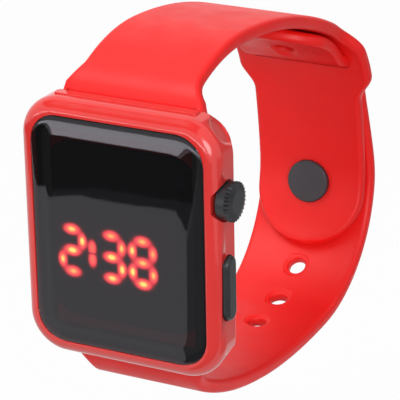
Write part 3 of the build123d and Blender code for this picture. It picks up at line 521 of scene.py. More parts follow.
def soften_shading(thing, crease=CREASE_DEGREES):
    """Smooth shading that keeps flat faces flat and real corners crisp."""
    thing.data.set_sharp_from_angle(angle=radians(crease))
    modifier = thing.modifiers.new("Weighted normals", "WEIGHTED_NORMAL")
    modifier.keep_sharp = True
    modifier.weight = NORMAL_WEIGHT
    apply_modifiers(thing)


def skin(name, rings):
    """Closed object through rings of equally many points, with a cap on each end."""
    count = len(rings[0])
    vertices = [point for ring in rings for point in ring]
    last = len(vertices) - count
    faces = []
    for low in range(0, last, count):
        high = low + count
        for index in range(count):
            after = (index + 1) % count
            faces.append((low + index, low + after, high + after, high + index))
    faces.append(tuple(reversed(range(count))))
    faces.append(tuple(range(last, last + count)))
    return new_object(name, vertices, faces)


def lathe(name, profile, steps, place, axis):
    """Closed solid turned about axis through place, from (radius, height) points."""
    rotation = Vector((0, 0, 1)).rotation_difference(axis).to_matrix()
    turns = [2 * pi * step / steps for step in range(steps)]
    rings = []
    for radius, height in profile:
        spokes = [Vector((radius * cos(turn), radius * sin(turn), height)) for turn in turns]
        rings.append([place + rotation @ spoke for spoke in spokes])
    return skin(name, rings)


def closed_rings(name, rings):
    """Closed object through rings of points, with its doubled points merged."""
    thing = skin(name, rings)
    tidy_normals(thing)
    return thing


# Centre lines, in the plane across the watch: a segment is station, Y, Z, heading, length, turn
def along(segment, distance):
    _, y, z, heading, length, turn = segment
    if turn == 0:
        angle = radians(heading)
        return y + distance * cos(angle), z + distance * sin(angle), heading
    radius = length / radians(turn)
    start = radians(heading)
    end = start + distance / radius
    y = y + radius * (sin(end) - sin(start))
    z = z + radius * (cos(start) - cos(end))
    return y, z, degrees(end)


def trace(y, z, heading, bends):
    segments = []
    station = 0
    for length, turn in bends:
        segments.append((station, y, z, heading, length, turn))
        y, z, heading = along(segments[-1], length)
        station = station + length
    return segments


def point_on(segments, station):
    chosen = segments[0]
    for segment in segments:
        if segment[0] <= station:
            chosen = segment
    return along(chosen, station - chosen[0])


def total_length(segments):
    return segments[-1][0] + segments[-1][4]


def arc_bend(start, heading, end):
    """Length and turn of the arc that leaves one place with a heading and ends at another."""
    run = (end[0] - start[0], end[1] - start[1])
    chord = hypot(*run)
    half = atan2(run[1], run[0]) - radians(heading)
    half = atan2(sin(half), cos(half))
    return chord * half / sin(half), degrees(2 * half)


def biarc_bends(start, heading, end, end_heading):
    """Two arcs, tangent to each other, between two places and headings."""
    first = radians(heading)
    last = radians(end_heading)
    run = (end[0] - start[0], end[1] - start[1])
    sum_y = cos(first) + cos(last)
    sum_z = sin(first) + sin(last)
    square = 2 * (1 - cos(last - first))
    linear_term = 2 * (run[0] * sum_y + run[1] * sum_z)
    constant = run[0] ** 2 + run[1] ** 2
    root = sqrt(linear_term**2 + 4 * square * constant)
    reach = (root - linear_term) / (2 * square)
    meet_y = (start[0] + end[0] + reach * (cos(first) - cos(last))) / 2
    meet_z = (start[1] + end[1] + reach * (sin(first) - sin(last))) / 2
    bend = arc_bend(start, heading, (meet_y, meet_z))
    return [bend, arc_bend((meet_y, meet_z), heading + bend[1], end)]


def ease(share):
    held = min(max(share, 0), 1)
    return held * held * (3 - 2 * held)


def offset_point(y, z, heading, distance):
    angle = radians(heading)
    return y - distance * sin(angle), z + distance * cos(angle)


def outward_at(heading):
    """Direction out of a strap's outer face, where its centre line has a heading."""
    angle = radians(heading)
    return Vector((0, -sin(angle), cos(angle)))


def arc_bends(rise, radii, turns, sign):
    """A straight rise, then arcs that all turn to one side, as lengths and turns."""
    return [(rise, 0)] + [(radius * radians(turn), sign * turn) for radius, turn in zip(radii, turns)]


class StrapLines:
    """Centre lines of both strap halves for the given thicknesses."""

    def __init__(self, pin_thickness, tail_thickness):
        self.layer = (pin_thickness + tail_thickness) / 2 + STRAP_GAP
        self.pin = trace(BAR_Y, BAR_Z, 90, arc_bends(PIN_RISE, PIN_RADII, PIN_TURNS, -1))
        self.stud = self.pin_point(STUD_STATION)
        meet = offset_point(*self.stud, self.layer)
        bends = arc_bends(TAIL_DROP, TAIL_RADII, TAIL_TURNS, 1)
        start = trace(BAR_Y, -BAR_Z, -90, bends)
        y, z, heading = point_on(start, total_length(start))
        bends.extend(biarc_bends((y, z), heading, meet, self.stud[2] + 180))
        self.tail = trace(BAR_Y, -BAR_Z, -90, bends)
        self.tail_stud = total_length(self.tail)
        self.tucked = self.tucked_rows(STUD_STATION, STUD_STATION - TAIL_PAST_STUD)
        self.tail_end = self.tail_stud + self.tucked[-1][0]

    def pin_point(self, station):
        return point_on(self.pin, station)

    def layer_at(self, station):
        """How far the tail lies from the pin half: outside it up to the slot, and inside it beyond."""
        return self.layer * (1 - 2 * ease((SLOT_STATION - station) / SLOT_BEND + 0.5))

    def tucked_rows(self, first, last):
        """Rows of run past the stud, place and heading of the tail where it follows the pin half."""
        count = ceil((first - last) / TUCKED_STEP)
        step = (first - last) / count
        places = []
        for index in range(-1, count + 2):
            station = first - index * step
            places.append(offset_point(*self.pin_point(station), self.layer_at(station)))
        rows = []
        run = 0
        for index in range(1, count + 2):
            before = places[index - 1]
            after = places[index + 1]
            heading = degrees(atan2(after[1] - before[1], after[0] - before[0]))
            rows.append((run, *places[index], heading))
            run = run + dist(places[index], after)
        return rows

    def tail_point(self, station):
        past = station - self.tail_stud
        if past <= 0:
            return point_on(self.tail, station)
        for row, ahead in zip(self.tucked, self.tucked[1:]):
            if ahead[0] >= past:
                break
        share = (past - row[0]) / (ahead[0] - row[0])
        return tuple(low + share * (high - low) for low, high in zip(row[1:], ahead[1:]))


def shoulder_width(station, width, shoulder):
    """Width near the case, where the strap flares out to its shoulders."""
    share = min(max((station - ROOT_STATION) / SHOULDER_RUN, 0), 1)
    return width + (shoulder - width) * (1 - share) ** 2


def shoulder_station():
    """Station where the shoulders just clear the case's end."""
    return CASE_HIGH.z - BAR_Z + SHOULDER_GAP


def rest_on_case(point, station, outer):
    """Moves a point of a strap's shoulder onto the case's end, which falls away at its round corners."""
    root = shoulder_station()
    if outer == 0 or station < root or station > root + REST_RUN or abs(point.x) < TONGUE_WIDTH / 2:
        return point
    past = max(abs(point.x) - (CASE_HIGH.x - CASE_CORNER), 0)
    fall = CASE_CORNER - sqrt(CASE_CORNER * CASE_CORNER - past * past)
    back = max(point.y - FLANK_REAR_Y, 0) * REAR_SLOPE
    end = CASE_HIGH.z + SHOULDER_GAP - fall - back
    height = end if station < root + TONGUE_STEP else max(abs(point.z), end)
    return Vector((point.x, point.y, copysign(height, point.z)))


def depth_inside(x, width, past, tip_run):
    """Distance of a point from a strap's outline, which is part of an ellipse past the start of its tip."""
    if past <= 0:
        return width / 2 - abs(x)
    full = width / 2 / sqrt(max(1 - (past / tip_run) ** 2, LEAST_SHARE))
    depth = hypot(x / full, past / tip_run)
    slope = hypot(x / full**2, past / tip_run**2)
    return max((1 - depth) * depth / slope, 0)


def strap_mesh(name, rows, half_thickness, edge, tip_start=inf, tip_run=0, outer=0):
    """Closed strap: rows are station, Y, Z, heading and width; its edges and tip are rounded.

    outer is the side, 1 or -1, that swells near the case to meet its wall."""
    columns = list(COLUMN_SHARES) + [0.0] + [-share for share in reversed(COLUMN_SHARES)]
    rings = []
    for station, y, z, heading, width in rows:
        past = max(station - tip_start, 0)
        normal = outward_at(heading)
        swell = ROOT_SWELL * (1 - ease(station / ROOT_SWELL_RUN))
        ring = []
        for side in (1, -1):
            raised = half_thickness + (swell if side == outer else 0)
            for share in columns if side == 1 else reversed(columns):
                x = share * width / 2
                lack = edge - min(depth_inside(x, width, past, tip_run), edge)
                height = raised - edge + sqrt(max(edge * edge - lack * lack, 0))
                place = Vector((x, y, z)) + normal * (side * height)
                ring.append(rest_on_case(place, station, outer))
        rings.append(ring)
    return closed_rings(name, rings)


def row_stations(start, end, step=ROW_STEP):
    count = ceil((end - start) / step)
    return [start + (end - start) * index / count for index in range(count + 1)]


def tip_stations(end, run):
    """Stations that crowd towards a rounded end."""
    turns = [pi / 2 * index / TIP_ROWS for index in range(1, TIP_ROWS)]
    return [end - run + run * sin(turn) for turn in turns] + [end - TIP_END_GAP]


def tip_width(width, station, end, run):
    share = min(max((station - end + run) / run, 0), 1)
    return width * sqrt(1 - share * share)


def tongue_rows(point, shoulder):
    """Rows of the narrow tongue in the case's recess, and the step out to the shoulders."""
    root = shoulder_station()
    rows = [(station, *point(station), TONGUE_WIDTH) for station in (0, root / 2, root - TONGUE_STEP)]
    rows.append((root, *point(root), shoulder))
    return rows


def knuckle_and_bore(side):
    """Round end that turns on the spring bar, and the hole for the bar."""
    half = TONGUE_WIDTH / 2
    radius = KNUCKLE_DIAMETER / 2
    bore = BORE_DIAMETER / 2
    place = Vector((0, BAR_Y, side * BAR_Z))
    across = Vector((1, 0, 0))
    soft = KNUCKLE_SOFT
    profile = [(radius - soft, -half), (radius, soft - half), (radius, half - soft), (radius - soft, half)]
    knuckle = lathe("knuckle", profile, KNUCKLE_ROUND, place, across)
    return knuckle, lathe("bore", [(bore, -2 * half), (bore, 2 * half)], SMALL_ROUND, place, across)


def keeper_slot(lines, size):
    """Cutter for the slot that the tail goes through."""
    half = SLOT_BEND / 2
    width = size.tail_end + 2 * SLOT_SIDE_GAP
    rows = [(*row, width) for row in lines.tucked_rows(SLOT_STATION + half, SLOT_STATION - half)]
    return strap_mesh("slot", rows, size.tail_thickness / 2 + SLOT_CLEARANCE, SLOT_EDGE)


def stud_cutters(stud):
    """Cutters for the neck of the stud, and for the round seat of its base on the inner face."""
    y, z, heading = stud
    place = Vector((0, y, z))
    outward = outward_at(heading)
    neck = [(NECK_RADIUS, -CUT_REACH), (NECK_RADIUS, CUT_REACH)]
    seat = [(SEAT_RADIUS, -CUT_REACH), (SEAT_RADIUS, -SEAT_FLOOR)]
    return [
        lathe("neck", neck, SMALL_ROUND, place, outward),
        lathe("seat", seat, LARGE_ROUND, place, outward),
    ]


def hole_cutter(place, size):
    """Hole with a shallow round dimple and softened rims on both faces."""
    y, z, heading = place
    hole = size.hole / 2
    dimple = size.dimple / 2
    face = size.tail_thickness / 2
    floor = face - size.dimple_depth
    soft = HOLE_SOFT
    half = [
        (hole, 0),
        (hole, floor - 2 * soft),
        (hole + soft, floor - soft / 2),
        (hole + 2 * soft, floor),
        (dimple - 2 * soft, floor + soft / 2),
        (dimple - soft / 2, face - soft),
        (dimple + soft, face + soft / 2),
        (dimple + 3 * soft, face + 2 * soft),
        (dimple + 3 * soft, size.tail_thickness),
    ]
    profile = [(radius, -height) for radius, height in reversed(half)] + half[1:]
    return lathe("hole", profile, HOLE_ROUND, Vector((0, y, z)), outward_at(heading))


def finish_strap(strap, side, cutters, node):
    """Adds a strap half's round end, cuts its openings and dresses it."""
    knuckle, bore = knuckle_and_bore(side)
    combine(strap, [knuckle], "UNION")
    combine(strap, [bore, *cutters], "DIFFERENCE")
    soften_shading(strap)
    strap.data.materials.clear()
    strap.data.materials.append(bpy.data.materials[STRAP_FINISH])
    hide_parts(node)
    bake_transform(strap)


# Settings
def number(name, text, default, **settings):
    return FloatProperty(name=name, description=text, default=default, **settings)


def length(name, text, default):
    return number(name, text, default, unit="LENGTH", precision=5)


def colour(name, text, default):
    return FloatVectorProperty(
        name=name, description=text, default=linear(default), size=4, subtype="COLOR", min=0, max=1
    )


class WatchStrapSettings(PropertyGroup):
    pin_thickness: length("Pin half thickness", "Half with the stud", 2.3 * MM)
    tail_thickness: length("Tail thickness", "Half with the holes", 2.2 * MM)
    width: length("Width", "Both halves, away from the case", 20.6 * MM)
    shoulder: length("Shoulder width", "Where the strap meets the case", 24.8 * MM)
    keeper: length("Keeper width", "Pin half, where it is swollen round its slot", 25.4 * MM)
    tail_stud: length("Tail width at the stud", "Where the stud holds the tail", 22.2 * MM)
    tail_end: length("Tail end width", "The end that goes through the slot", 19.4 * MM)
    edge: length("Edge radius", "Rounding of the long edges", 0.9 * MM)
    hole: length("Hole diameter", "Adjusting holes", 3.2 * MM)
    dimple: length("Dimple diameter", "Shallow step round each hole", 4.6 * MM)
    dimple_depth: length("Dimple depth", "Shallow step round each hole", 0.2 * MM)
    silicone: colour("Silicone", "Colour of the strap", "F61A18")


class WatchCaseSettings(PropertyGroup):
    plastic: colour("Case plastic", "Colour of the moulded case", "E93532")
    knob: colour("Knob plastic", "Colour of the crown and the side button", "222327")
    scoop_depth: length("Scoop depth", "Shallow scoop at each corner", 0.85 * MM)
    scoop_radius: length("Scoop radius", "Shallow scoop at each corner", 3.3 * MM)
    scoop_front: length("Scoop front", "Distance from the case's front", 1.75 * MM)
    band_width: length("End band width", "Raised band on each end of the case", 24.8 * MM)
    band_height: length("End band height", "Rise over the case's end", 0.18 * MM)
    band_front: length("End band front", "Distance from the case's front", 2.9 * MM)
    band_depth: length("End band depth", "Size from front to back", 1.8 * MM)
    stud: colour("Stud finish", "Colour of the strap's stud", "343439")


class WatchWindowSettings(PropertyGroup):
    edge_run: length("Edge run", "Width of the rolled edge", 3.3 * MM)
    corner: length("Corner radius", "Outline of the window", 4.8 * MM)
    shoulder: length("Shoulder", "Width of the rounded shoulder at the rim", 0.9 * MM)
    border: length("Border", "Width of the black print round the rear face", 2.6 * MM)
    slope: number("Slope", "Rolled edge inside the shoulder", 0.2)
    crown: length("Crown", "Rise of the middle over the flat", 0.04 * MM)
    tint: colour("Smoke", "Body colour of the window", "060607")
    see_through: number("See-through", "Share of light that passes each face", 0.35, min=0, max=1)
    glow: number("Glow", "Strength of the light bars", 8.8, min=0)


class WatchStageSettings(PropertyGroup):
    key_power: number("Key light", "Power of the large overhead light", 3.7, unit="POWER")
    fill_power: number("Fill light", "Power of the front light", 3.6, unit="POWER")
    ambient: number("Ambient", "Strength of the white surroundings", 0.5)


class WATCH_OT_add_pin_strap(Operator):
    """Models the 12 o'clock half of the strap, with its keeper slot and rounded end"""

    bl_idname = "watch.add_pin_strap"
    bl_label = "Add Pin Strap"

    def execute(self, context):
        size = context.scene.watch_strap
        lines = StrapLines(size.pin_thickness, size.tail_thickness)
        rows = tongue_rows(lines.pin_point, size.shoulder)
        tip_start = PIN_END - PIN_TIP
        for station in row_stations(shoulder_station(), tip_start)[1:] + tip_stations(PIN_END, PIN_TIP):
            rise = ease((station - SLOT_STATION + KEEPER_LAND) / KEEPER_RISE + 1)
            fall = ease((station - SLOT_STATION - KEEPER_LAND) / KEEPER_FALL)
            width = shoulder_width(station, size.width, size.shoulder)
            width = width + (size.keeper - size.width) * (rise - fall)
            width = tip_width(width, station, PIN_END, PIN_TIP)
            rows.append((station, *lines.pin_point(station), width))
        half = size.pin_thickness / 2
        strap = strap_mesh("strap_pin_half", rows, half, size.edge, tip_start, PIN_TIP, 1)
        cutters = [keeper_slot(lines, size), *stud_cutters(lines.stud)]
        finish_strap(strap, 1, cutters, "pin_strap")
        return {"FINISHED"}


class WATCH_OT_add_tail_strap(Operator):
    """Models the 6 o'clock half of the strap, with its adjusting holes and tucked tip"""

    bl_idname = "watch.add_tail_strap"
    bl_label = "Add Tail Strap"

    def execute(self, context):
        size = context.scene.watch_strap
        lines = StrapLines(size.pin_thickness, size.tail_thickness)
        rows = tongue_rows(lines.tail_point, size.shoulder)
        tip_start = lines.tail_end - TAIL_TIP
        stations = row_stations(shoulder_station(), lines.tail_stud)[1:]
        stations += row_stations(lines.tail_stud, tip_start, TUCKED_STEP)[1:]
        stations += tip_stations(lines.tail_end, TAIL_TIP)
        for station in stations:
            growth = ease((station - lines.tail_stud) / TAIL_GROWTH + 1)
            taper = ease((station - lines.tail_stud) / TAIL_TAPER)
            width = size.width + (size.tail_stud - size.width) * growth
            width = width + (size.tail_end - size.tail_stud) * taper
            width = shoulder_width(station, width, size.shoulder)
            width = tip_width(width, station, lines.tail_end, TAIL_TIP)
            rows.append((station, *lines.tail_point(station), width))
        half = size.tail_thickness / 2
        strap = strap_mesh("strap_tail_half", rows, half, size.edge, tip_start, TAIL_TIP, -1)
        steps = range(-HOLES_EACH_SIDE, HOLES_EACH_SIDE + 1)
        places = [lines.tail_point(lines.tail_stud + step * HOLE_PITCH) for step in steps]
        cutters = [hole_cutter(place, size) for place in places]
        finish_strap(strap, -1, cutters, "tail_strap")
        return {"FINISHED"}


def rounded_outline(half_width, half_height, corner, corner_steps=16, side_steps=12):
    """Closed list of X and Z points round a rectangle with round corners."""
    arcs = []
    for quarter, (side_x, side_z) in enumerate(((1, 1), (-1, 1), (-1, -1), (1, -1))):
        x = side_x * (half_width - corner)
        z = side_z * (half_height - corner)
        turns = [radians(90 * quarter + 90 * step / corner_steps) for step in range(corner_steps + 1)]
        arcs.append([(x + corner * cos(turn), z + corner * sin(turn)) for turn in turns])
    points = []
    for arc, following in zip(arcs, arcs[1:] + arcs[:1]):
        points.extend(arc)
        for step in range(1, side_steps):
            share = step / side_steps
            points.append(tuple(a + share * (b - a) for a, b in zip(arc[-1], following[0])))
    return points


def edge_profile(size, rise):
    """Inset and height across the window's edge: a round shoulder, then an even slope to the flat."""
    turns = [pi / 2 * step / WINDOW_SHOULDER_STEPS for step in range(WINDOW_SHOULDER_STEPS + 1)]
    insets = [size.shoulder * (1 - cos(turn)) for turn in turns]
    run = size.edge_run - size.shoulder
    steps = WINDOW_SLOPE_STEPS
    insets += [size.shoulder + run * step / steps for step in range(1, steps + 1)]
    profile = []
    for inset in insets:
        lack = 1 - min(inset / size.shoulder, 1)
        shoulder = (rise - size.slope * size.edge_run) * sqrt(1 - lack * lack)
        profile.append((inset, size.slope * inset + shoulder))
    return profile


def window_rings(size):
    """Rings of points from the window's rear face, round its edge, to the middle of its front."""
    half_width = (LENS_HIGH.x - LENS_LOW.x) / 2
    half_height = (LENS_HIGH.z - LENS_LOW.z) / 2
    opening = rounded_outline(half_width - size.border, half_height - size.border, BORDER_CORNER)
    rear = rounded_outline(half_width, half_height, size.corner)
    rings = [[(x, LENS_HIGH.y, z) for x, z in outline] for outline in (opening, rear)]
    rise = CASE_LOW.y - LENS_LOW.y - size.crown + WINDOW_SUNK
    for inset, height in edge_profile(size, rise):
        y = CASE_LOW.y + WINDOW_SUNK - height
        corner = size.corner - inset * WINDOW_CORNER_SHARE
        outline = rounded_outline(half_width - inset, half_height - inset, corner)
        rings.append([(x, y, z) for x, z in outline])
    flat = rings[-1]
    for step in range(1, WINDOW_FACE_STEPS + 1):
        share = 1 - step / (WINDOW_FACE_STEPS + WINDOW_MIDDLE_SHARE)
        bulge = size.crown * (1 - share * share)
        rings.append([(x * share, y - bulge, z * share) for x, y, z in flat])
    return rings


class WATCH_OT_add_window(Operator):
    """Models the smoked window with its rolled edge and slightly crowned face"""

    bl_idname = "watch.add_window"
    bl_label = "Add Window"

    def execute(self, context):
        size = context.scene.watch_window
        window = closed_rings("window", window_rings(size))
        soften_shading(window, WINDOW_CREASE_DEGREES)
        border = satin_plastic("Window border, black screen print", linear("050505"), 0.6)
        window.data.materials.append(smoked_acrylic(tuple(size.tint), size.see_through))
        window.data.materials.append(border)
        for polygon in window.data.polygons:
            at_rear = polygon.center.y > LENS_HIGH.y - REAR_FACE_SLACK
            polygon.material_index = int(at_rear and polygon.center.xz.length > size.border)
        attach(window, "case")
        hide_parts("lens")
        return {"FINISHED"}


def light_spots():
    """Middle, spread along X and Z, and brightness of each lit bar and of the colon's dots."""
    side = (DIGIT_WIDTH - BAR_THICKNESS) / 2
    rise = (DIGIT_HEIGHT - BAR_THICKNESS) / 2
    upright = (GLOW_UPRIGHT[1], GLOW_UPRIGHT[0])
    spots = []
    for middle, letters in LIT_DIGITS:
        for share_x, share_z in [BAR_SHARES[letter] for letter in letters]:
            reach = upright if share_x else GLOW_LEVEL
            bright = BAR_BRIGHTNESS + BAR_UNEVENNESS * sin(BAR_PHASE * len(spots))
            spots.append((middle + share_x * side, DIGIT_MIDDLE_Z + share_z * rise, reach, bright))
    for up in (1, -1):
        spots.append((COLON_X, DIGIT_MIDDLE_Z + up * COLON_SPREAD / 2, upright, COLON_SHARE))
    return spots


def corner_scoop(side_x, side_z, size):
    """Shallow dish that is cut from a corner of the case and runs out at its rear."""
    angle = radians(SCOOP_ANGLE)
    lean = radians(SCOOP_LEAN)
    level = Vector((side_x * cos(angle), 0, side_z * sin(angle)))
    outward = level * cos(lean) + Vector((0, sin(lean), 0))
    corner_x = side_x * (CASE_HIGH.x - CASE_CORNER)
    corner_z = side_z * (CASE_HIGH.z - CASE_CORNER)
    middle_y = CASE_LOW.y + size.scoop_front + size.scoop_radius
    middle = Vector((corner_x, middle_y, corner_z)) + level * CASE_CORNER
    floor = CASE_CORNER - size.scoop_depth
    profile = []
    for step in range(SCOOP_STEPS + 1):
        turn = pi / 2 * step / SCOOP_STEPS
        radius = size.scoop_radius - SCOOP_WALL * (1 - sin(turn))
        profile.append((radius, floor + SCOOP_WALL * (1 - cos(turn))))
    profile.append((size.scoop_radius, CASE_CORNER * 2))
    return lathe("scoop", profile, LARGE_ROUND, middle - outward * CASE_CORNER, outward)


def join_flats(thing):
    """Joins the triangles of each flat face, so that the shading of a round beside it stays even."""
    builder = bmesh.new()
    builder.from_mesh(thing.data)
    bmesh.ops.dissolve_limit(
        builder, angle_limit=radians(FLAT_DEGREES), verts=builder.verts, edges=builder.edges
    )
    builder.to_mesh(thing.data)
    builder.free()


class WATCH_OT_add_shell(Operator):
    """Models the case shell with a shallow scoop at each of its corners"""

    bl_idname = "watch.add_shell"
    bl_label = "Add Shell"

    def execute(self, context):
        size = context.scene.watch_case
        shell = add_object("housing_with_scoops", NODES["case_shell"].data.copy())
        tidy_normals(shell)
        scoops = [corner_scoop(x, z, size) for x in (1, -1) for z in (1, -1)]
        combine(shell, scoops, "DIFFERENCE")
        join_flats(shell)
        soften_shading(shell, CASE_CREASE_DEGREES)
        shell.data.materials.clear()
        shell.data.materials.append(bpy.data.materials[CASE_FINISH])
        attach(shell, "case")
        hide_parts("case_shell")
        return {"FINISHED"}


class WATCH_OT_add_end_bands(Operator):
    """Models the low raised band on each end of the case, in front of the strap"""

    bl_idname = "watch.add_end_bands"
    bl_label = "Add End Bands"

    def execute(self, context):
        size = context.scene.watch_case
        plastic = bpy.data.materials[CASE_FINISH]
        for side, name in ((1, "end_band_top"), (-1, "end_band_bottom")):
            base = side * (CASE_HIGH.z - BAND_SUNK)
            top = side * (CASE_HIGH.z + size.band_height)
            soft = size.band_height / 2
            middle_y = CASE_LOW.y + size.band_front + size.band_depth / 2
            rings = []
            for z, inset in ((base, 0), (top - side * soft, 0), (top, soft)):
                half_width = size.band_width / 2 - inset
                half_depth = size.band_depth / 2 - inset
                outline = rounded_outline(half_width, half_depth, BAND_CORNER - inset, *BAND_STEPS)
                rings.append([(x, middle_y + depth, z) for x, depth in outline])
            band = closed_rings(name, rings)
            soften_shading(band)
            band.data.materials.append(plastic)
            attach(band, "case")
        return {"FINISHED"}


def film_glow(grid_x, grid_z):
    """How bright the film is at each point of a grid, from 0 to 1."""
    dark = np.ones_like(grid_x)
    for x, z, (reach_x, reach_z), bright in light_spots():
        away = ((grid_x - x) / reach_x) ** 2 + ((grid_z - z) / reach_z) ** 2
        dark = dark * (1 - bright * np.exp(-(away**GLOW_FALL)))
    near_colon = np.exp(-(((grid_x - COLON_X) / GLOW_UPRIGHT[1]) ** 4))
    split = np.exp(-(((grid_z - DIGIT_MIDDLE_Z) / COLON_SPLIT) ** 2))
    return (1 - dark) * (1 - COLON_SPLIT_SHARE * split * near_colon)


def film_line(low, high):
    """Evenly spaced places across the film, with a margin on both sides of the bars."""
    low, high = low - FILM_MARGIN, high + FILM_MARGIN
    return np.linspace(low, high, ceil((high - low) / FILM_STEP) + 1)


class WATCH_OT_add_display(Operator):
    """Models the film that spreads the light of the bars behind the window"""

    bl_idname = "watch.add_display"
    bl_label = "Add Display"

    def execute(self, context):
        xs = film_line(BARS_LOW.x, BARS_HIGH.x)
        zs = film_line(BARS_LOW.z, BARS_HIGH.z)
        grid_x, grid_z = np.meshgrid(xs, zs)
        columns = len(xs)
        y = BARS_LOW.y - FILM_GAP
        vertices = [(x, y, z) for x, z in zip(grid_x.ravel(), grid_z.ravel())]
        faces = []
        for row in range(len(zs) - 1):
            for column in range(columns - 1):
                corner = row * columns + column
                faces.append((corner, corner + 1, corner + columns + 1, corner + columns))
        film = new_object("display_film", vertices, faces)
        attribute = film.data.attributes.new("glow", "FLOAT", "POINT")
        attribute.data.foreach_set("value", film_glow(grid_x, grid_z).ravel().astype(np.float32))
        film.data.materials.append(glowing_film(context.scene.watch_window.glow))
        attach(film, "case")
        return {"FINISHED"}


def dress(material, *nodes):
    """Gives CAD nodes a material."""
    for node in nodes:
        slots = NODES[node].data.materials
        slots.clear()
        slots.append(material)


class WATCH_OT_dress_case(Operator):
    """Gives the case, the crown, the button, the stud and the strap their finishes"""

    bl_idname = "watch.dress_case"
    bl_label = "Dress Case"

    def execute(self, context):
        colours = context.scene.watch_case
        silicone(tuple(context.scene.watch_strap.silicone))
        dress(gloss_plastic(CASE_FINISH, tuple(colours.plastic), 0.13, 0.2), "case_shell")
        dress(satin_plastic("Knob, black ABS", tuple(colours.knob), 0.38), "crown_knob", "button_cap")
        dress(satin_plastic("Stud, dark moulded", tuple(colours.stud), 0.42), "stud_base", "stud_pin")
        return {"FINISHED"}


class WATCH_OT_dress_inside(Operator):
    """Gives the movement, the back and the fasteners their finishes"""

    bl_idname = "watch.dress_inside"
    bl_label = "Dress Inside"

    def execute(self, context):
        bars = [node for node in NODES if "_bar_" in node]
        inner = [part + kind for part in ("crown", "button") for kind in ("_stem", "_clip", "_spring")]
        dress(turned_metal("Spring steel, drawn", linear("B9B9B4"), 0.28, (0.05, 1, 1)), *inner, *bars)
        dress(turned_metal("Back cover, brushed steel", linear("A8A8A6"), 0.32, (1, 1, 0.03)), "back_cover")
        dress(turned_metal("Screws, turned steel", linear("C2C2BE"), 0.25), "back_screws")
        dress(turned_metal("Cell can, drawn steel", linear("C6C6C0"), 0.22), "battery", "quartz_crystal")
        brass = turned_metal("Contact, plated brass", linear("C9A24A"), 0.25, (0.1, 1, 1))
        dress(brass, "battery_leaf", "battery_clip")
        dress(satin_plastic("Display moulding, black", linear("0B0B0C"), 0.6), "display_mask", "lens_tape")
        dress(satin_plastic("Module frame, nylon", linear("C9C7BF"), 0.5), "module_frame")
        dress(satin_plastic("Chip resistors", linear("3A3B40"), 0.45), "board_resistors")
        rubber = satin_plastic("Seals, black nitrile", linear("17171A"), 0.55)
        dress(rubber, "back_gasket", "crown_seal", "button_seal")
        epoxy = gloss_plastic("Encapsulated parts, black epoxy", linear("121214"), 0.25, 0.0)
        dress(epoxy, "controller_chip", "crown_switch", "button_switch")
        dress(gloss_plastic("Light bars, unlit", linear("3A0C0C"), 0.3, 0.0), "digit_bars_dark")
        dress(gloss_plastic("Light bars, lit", linear("C8201C"), 0.3, 0.0), "digit_bars_lit")
        dress(circuit_laminate(), "circuit_board")
        return {"FINISHED"}


def camera_axes():
    """Right, up and back of the camera."""
    azimuth = radians(CAMERA_AZIMUTH)
    elevation = radians(CAMERA_ELEVATION)
    roll = radians(CAMERA_ROLL)
    level = cos(elevation)
    back = Vector((sin(azimuth) * level, -cos(azimuth) * level, sin(elevation)))
    right = (-back).cross(Vector((0, 0, 1))).normalized()
    up = right.cross(-back)
    rolled_right = right * cos(roll) + up * sin(roll)
    rolled_up = up * cos(roll) - right * sin(roll)
    return rolled_right, rolled_up, back


class WATCH_OT_add_stage(Operator):
    """Adds the floor, the surroundings, the lights and the camera"""

    bl_idname = "watch.add_stage"
    bl_label = "Add Stage"

    def execute(self, context):
        settings = context.scene.watch_stage
        add_floor()
        add_surroundings(settings.ambient)
        add_area_light("Key light", *KEY_LIGHT, settings.key_power)
        add_area_light("Fill light", *FILL_LIGHT, settings.fill_power)
        for card in CARDS:
            add_card(*card)
        add_camera()
        context.scene.view_settings.view_transform = "Standard"
        return {"FINISHED"}


def seen_rays(tree):
    """1 for camera, glossy and transmission rays, and 0 for the rays that light things."""
    seen = feed(tree, "LightPath", "Is Camera Ray")
    for kind in ("Is Glossy Ray", "Is Transmission Ray"):
        seen = feed(tree, "Math", 0, {0: seen, 1: feed(tree, "LightPath", kind)}, operation="MAXIMUM")
    return seen


def add_floor():
    """Pale floor: white where the camera or a polished face sees it, with a soft shadow."""
    side = FLOOR_HALF_SIDE
    z = CAD_BOX[0][2] - FLOOR_DROP
    corners = [(-side, -side, z), (side, -side, z), (side, side, z), (-side, side, z)]
    floor = new_object("Floor", corners, [(0, 1, 2, 3)], smooth=False)
    material, tree = new_material("Floor, matt white")
    plain = feed(tree, "BsdfDiffuse", 0, {"Color": linear("9C9C9C")})
    white = feed(tree, "Emission", 0, {"Color": WHITE, "Strength": FLOOR_WHITE})
    share = feed(tree, "Math", 0, {0: seen_rays(tree), 1: FLOOR_WHITE_SHARE}, operation="MULTIPLY")
    set_surface(tree, feed(tree, "MixShader", 0, {0: share, 1: plain, 2: white}))
    floor.data.materials.append(material)


def add_surroundings(ambient):
    """White world: full white to the eye and in reflections, softer as a light."""
    world = bpy.data.worlds.new("White surroundings")
    bpy.context.scene.world = world
    tree = new_tree(world, "OutputWorld")
    limits = {"From Min": 0.0, "From Max": 1.0, "To Min": ambient, "To Max": 1.0}
    strength = feed(tree, "MapRange", "Result", {"Value": seen_rays(tree), **limits})
    set_surface(tree, feed(tree, "Background", 0, {"Color": WHITE, "Strength": strength}))


def add_area_light(name, place, size, power):
    data = bpy.data.lights.new(name, "AREA")
    data.shape = "DISK"
    data.size = size
    data.energy = power
    lamp = add_object(name, data)
    lamp.location = place
    aim = Vector(LIGHT_AIM) - Vector(place)
    lamp.rotation_euler = aim.to_track_quat("-Z", "Y").to_euler()


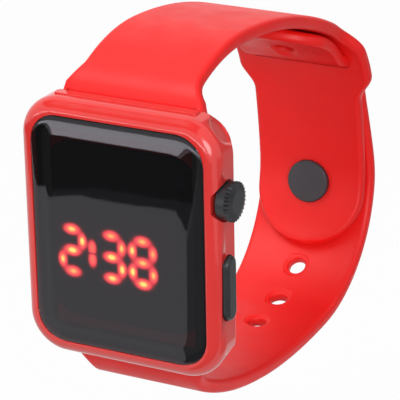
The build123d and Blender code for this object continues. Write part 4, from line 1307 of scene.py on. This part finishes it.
def add_card(name, brightness, corners):
    """Flat card that only polished faces mirror, as they mirror the room round the table."""
    card = new_object(name, corners, [tuple(range(len(corners)))], smooth=False)
    material, tree = new_material(name)
    set_surface(tree, feed(tree, "Emission", 0, {"Color": WHITE, "Strength": brightness}))
    card.data.materials.append(material)
    for ray in ("camera", "diffuse", "shadow", "transmission"):
        setattr(card, "visible_" + ray, False)


def add_camera():
    right, up, back = camera_axes()
    shell_front = Vector((0, CASE_LOW.y, 0))
    place = shell_front + right * CAMERA_RIGHT + up * CAMERA_UP + back * CAMERA_DISTANCE
    data = bpy.data.cameras.new("Camera")
    data.sensor_width = SENSOR_WIDTH_MM
    data.lens = CAMERA_FOCAL_PIXELS / PHOTO_SIDE_PIXELS * SENSOR_WIDTH_MM
    data.clip_start, data.clip_end = CAMERA_CLIP
    camera = add_object("Camera", data)
    turn = Matrix((right, up, back)).transposed().to_4x4()
    camera.matrix_world = Matrix.Translation(place) @ turn
    bpy.context.scene.camera = camera


class WATCH_PT_panel(Panel):
    """Lists the watch's settings and steps"""

    bl_label = "LED Watch"
    bl_idname = "WATCH_PT_panel"
    bl_space_type = "VIEW_3D"
    bl_region_type = "UI"
    bl_category = "LED Watch"

    def draw(self, context):
        layout = self.layout
        for group in SETTING_GROUPS:
            box = layout.box()
            settings = getattr(context.scene, group)
            for name in settings.__annotations__:
                box.prop(settings, name)
        for operator in OPERATORS:
            layout.operator(operator.bl_idname)


OPERATORS = (
    WATCH_OT_dress_case,
    WATCH_OT_dress_inside,
    WATCH_OT_add_pin_strap,
    WATCH_OT_add_tail_strap,
    WATCH_OT_add_window,
    WATCH_OT_add_shell,
    WATCH_OT_add_end_bands,
    WATCH_OT_add_display,
    WATCH_OT_add_stage,
)
SETTING_GROUPS = {
    "watch_strap": WatchStrapSettings,
    "watch_case": WatchCaseSettings,
    "watch_window": WatchWindowSettings,
    "watch_stage": WatchStageSettings,
}
CLASSES = (*SETTING_GROUPS.values(), *OPERATORS, WATCH_PT_panel)


def register():
    for item in CLASSES:
        bpy.utils.register_class(item)
    for name, group in SETTING_GROUPS.items():
        setattr(bpy.types.Scene, name, PointerProperty(type=group))


def unregister():
    for name in SETTING_GROUPS:
        delattr(bpy.types.Scene, name)
    for item in reversed(CLASSES):
        bpy.utils.unregister_class(item)


def main():
    register()
    for operator in OPERATORS:
        group, name = operator.bl_idname.split(".")
        getattr(getattr(bpy.ops, group), name)()


if __name__ == "__main__":
    main()
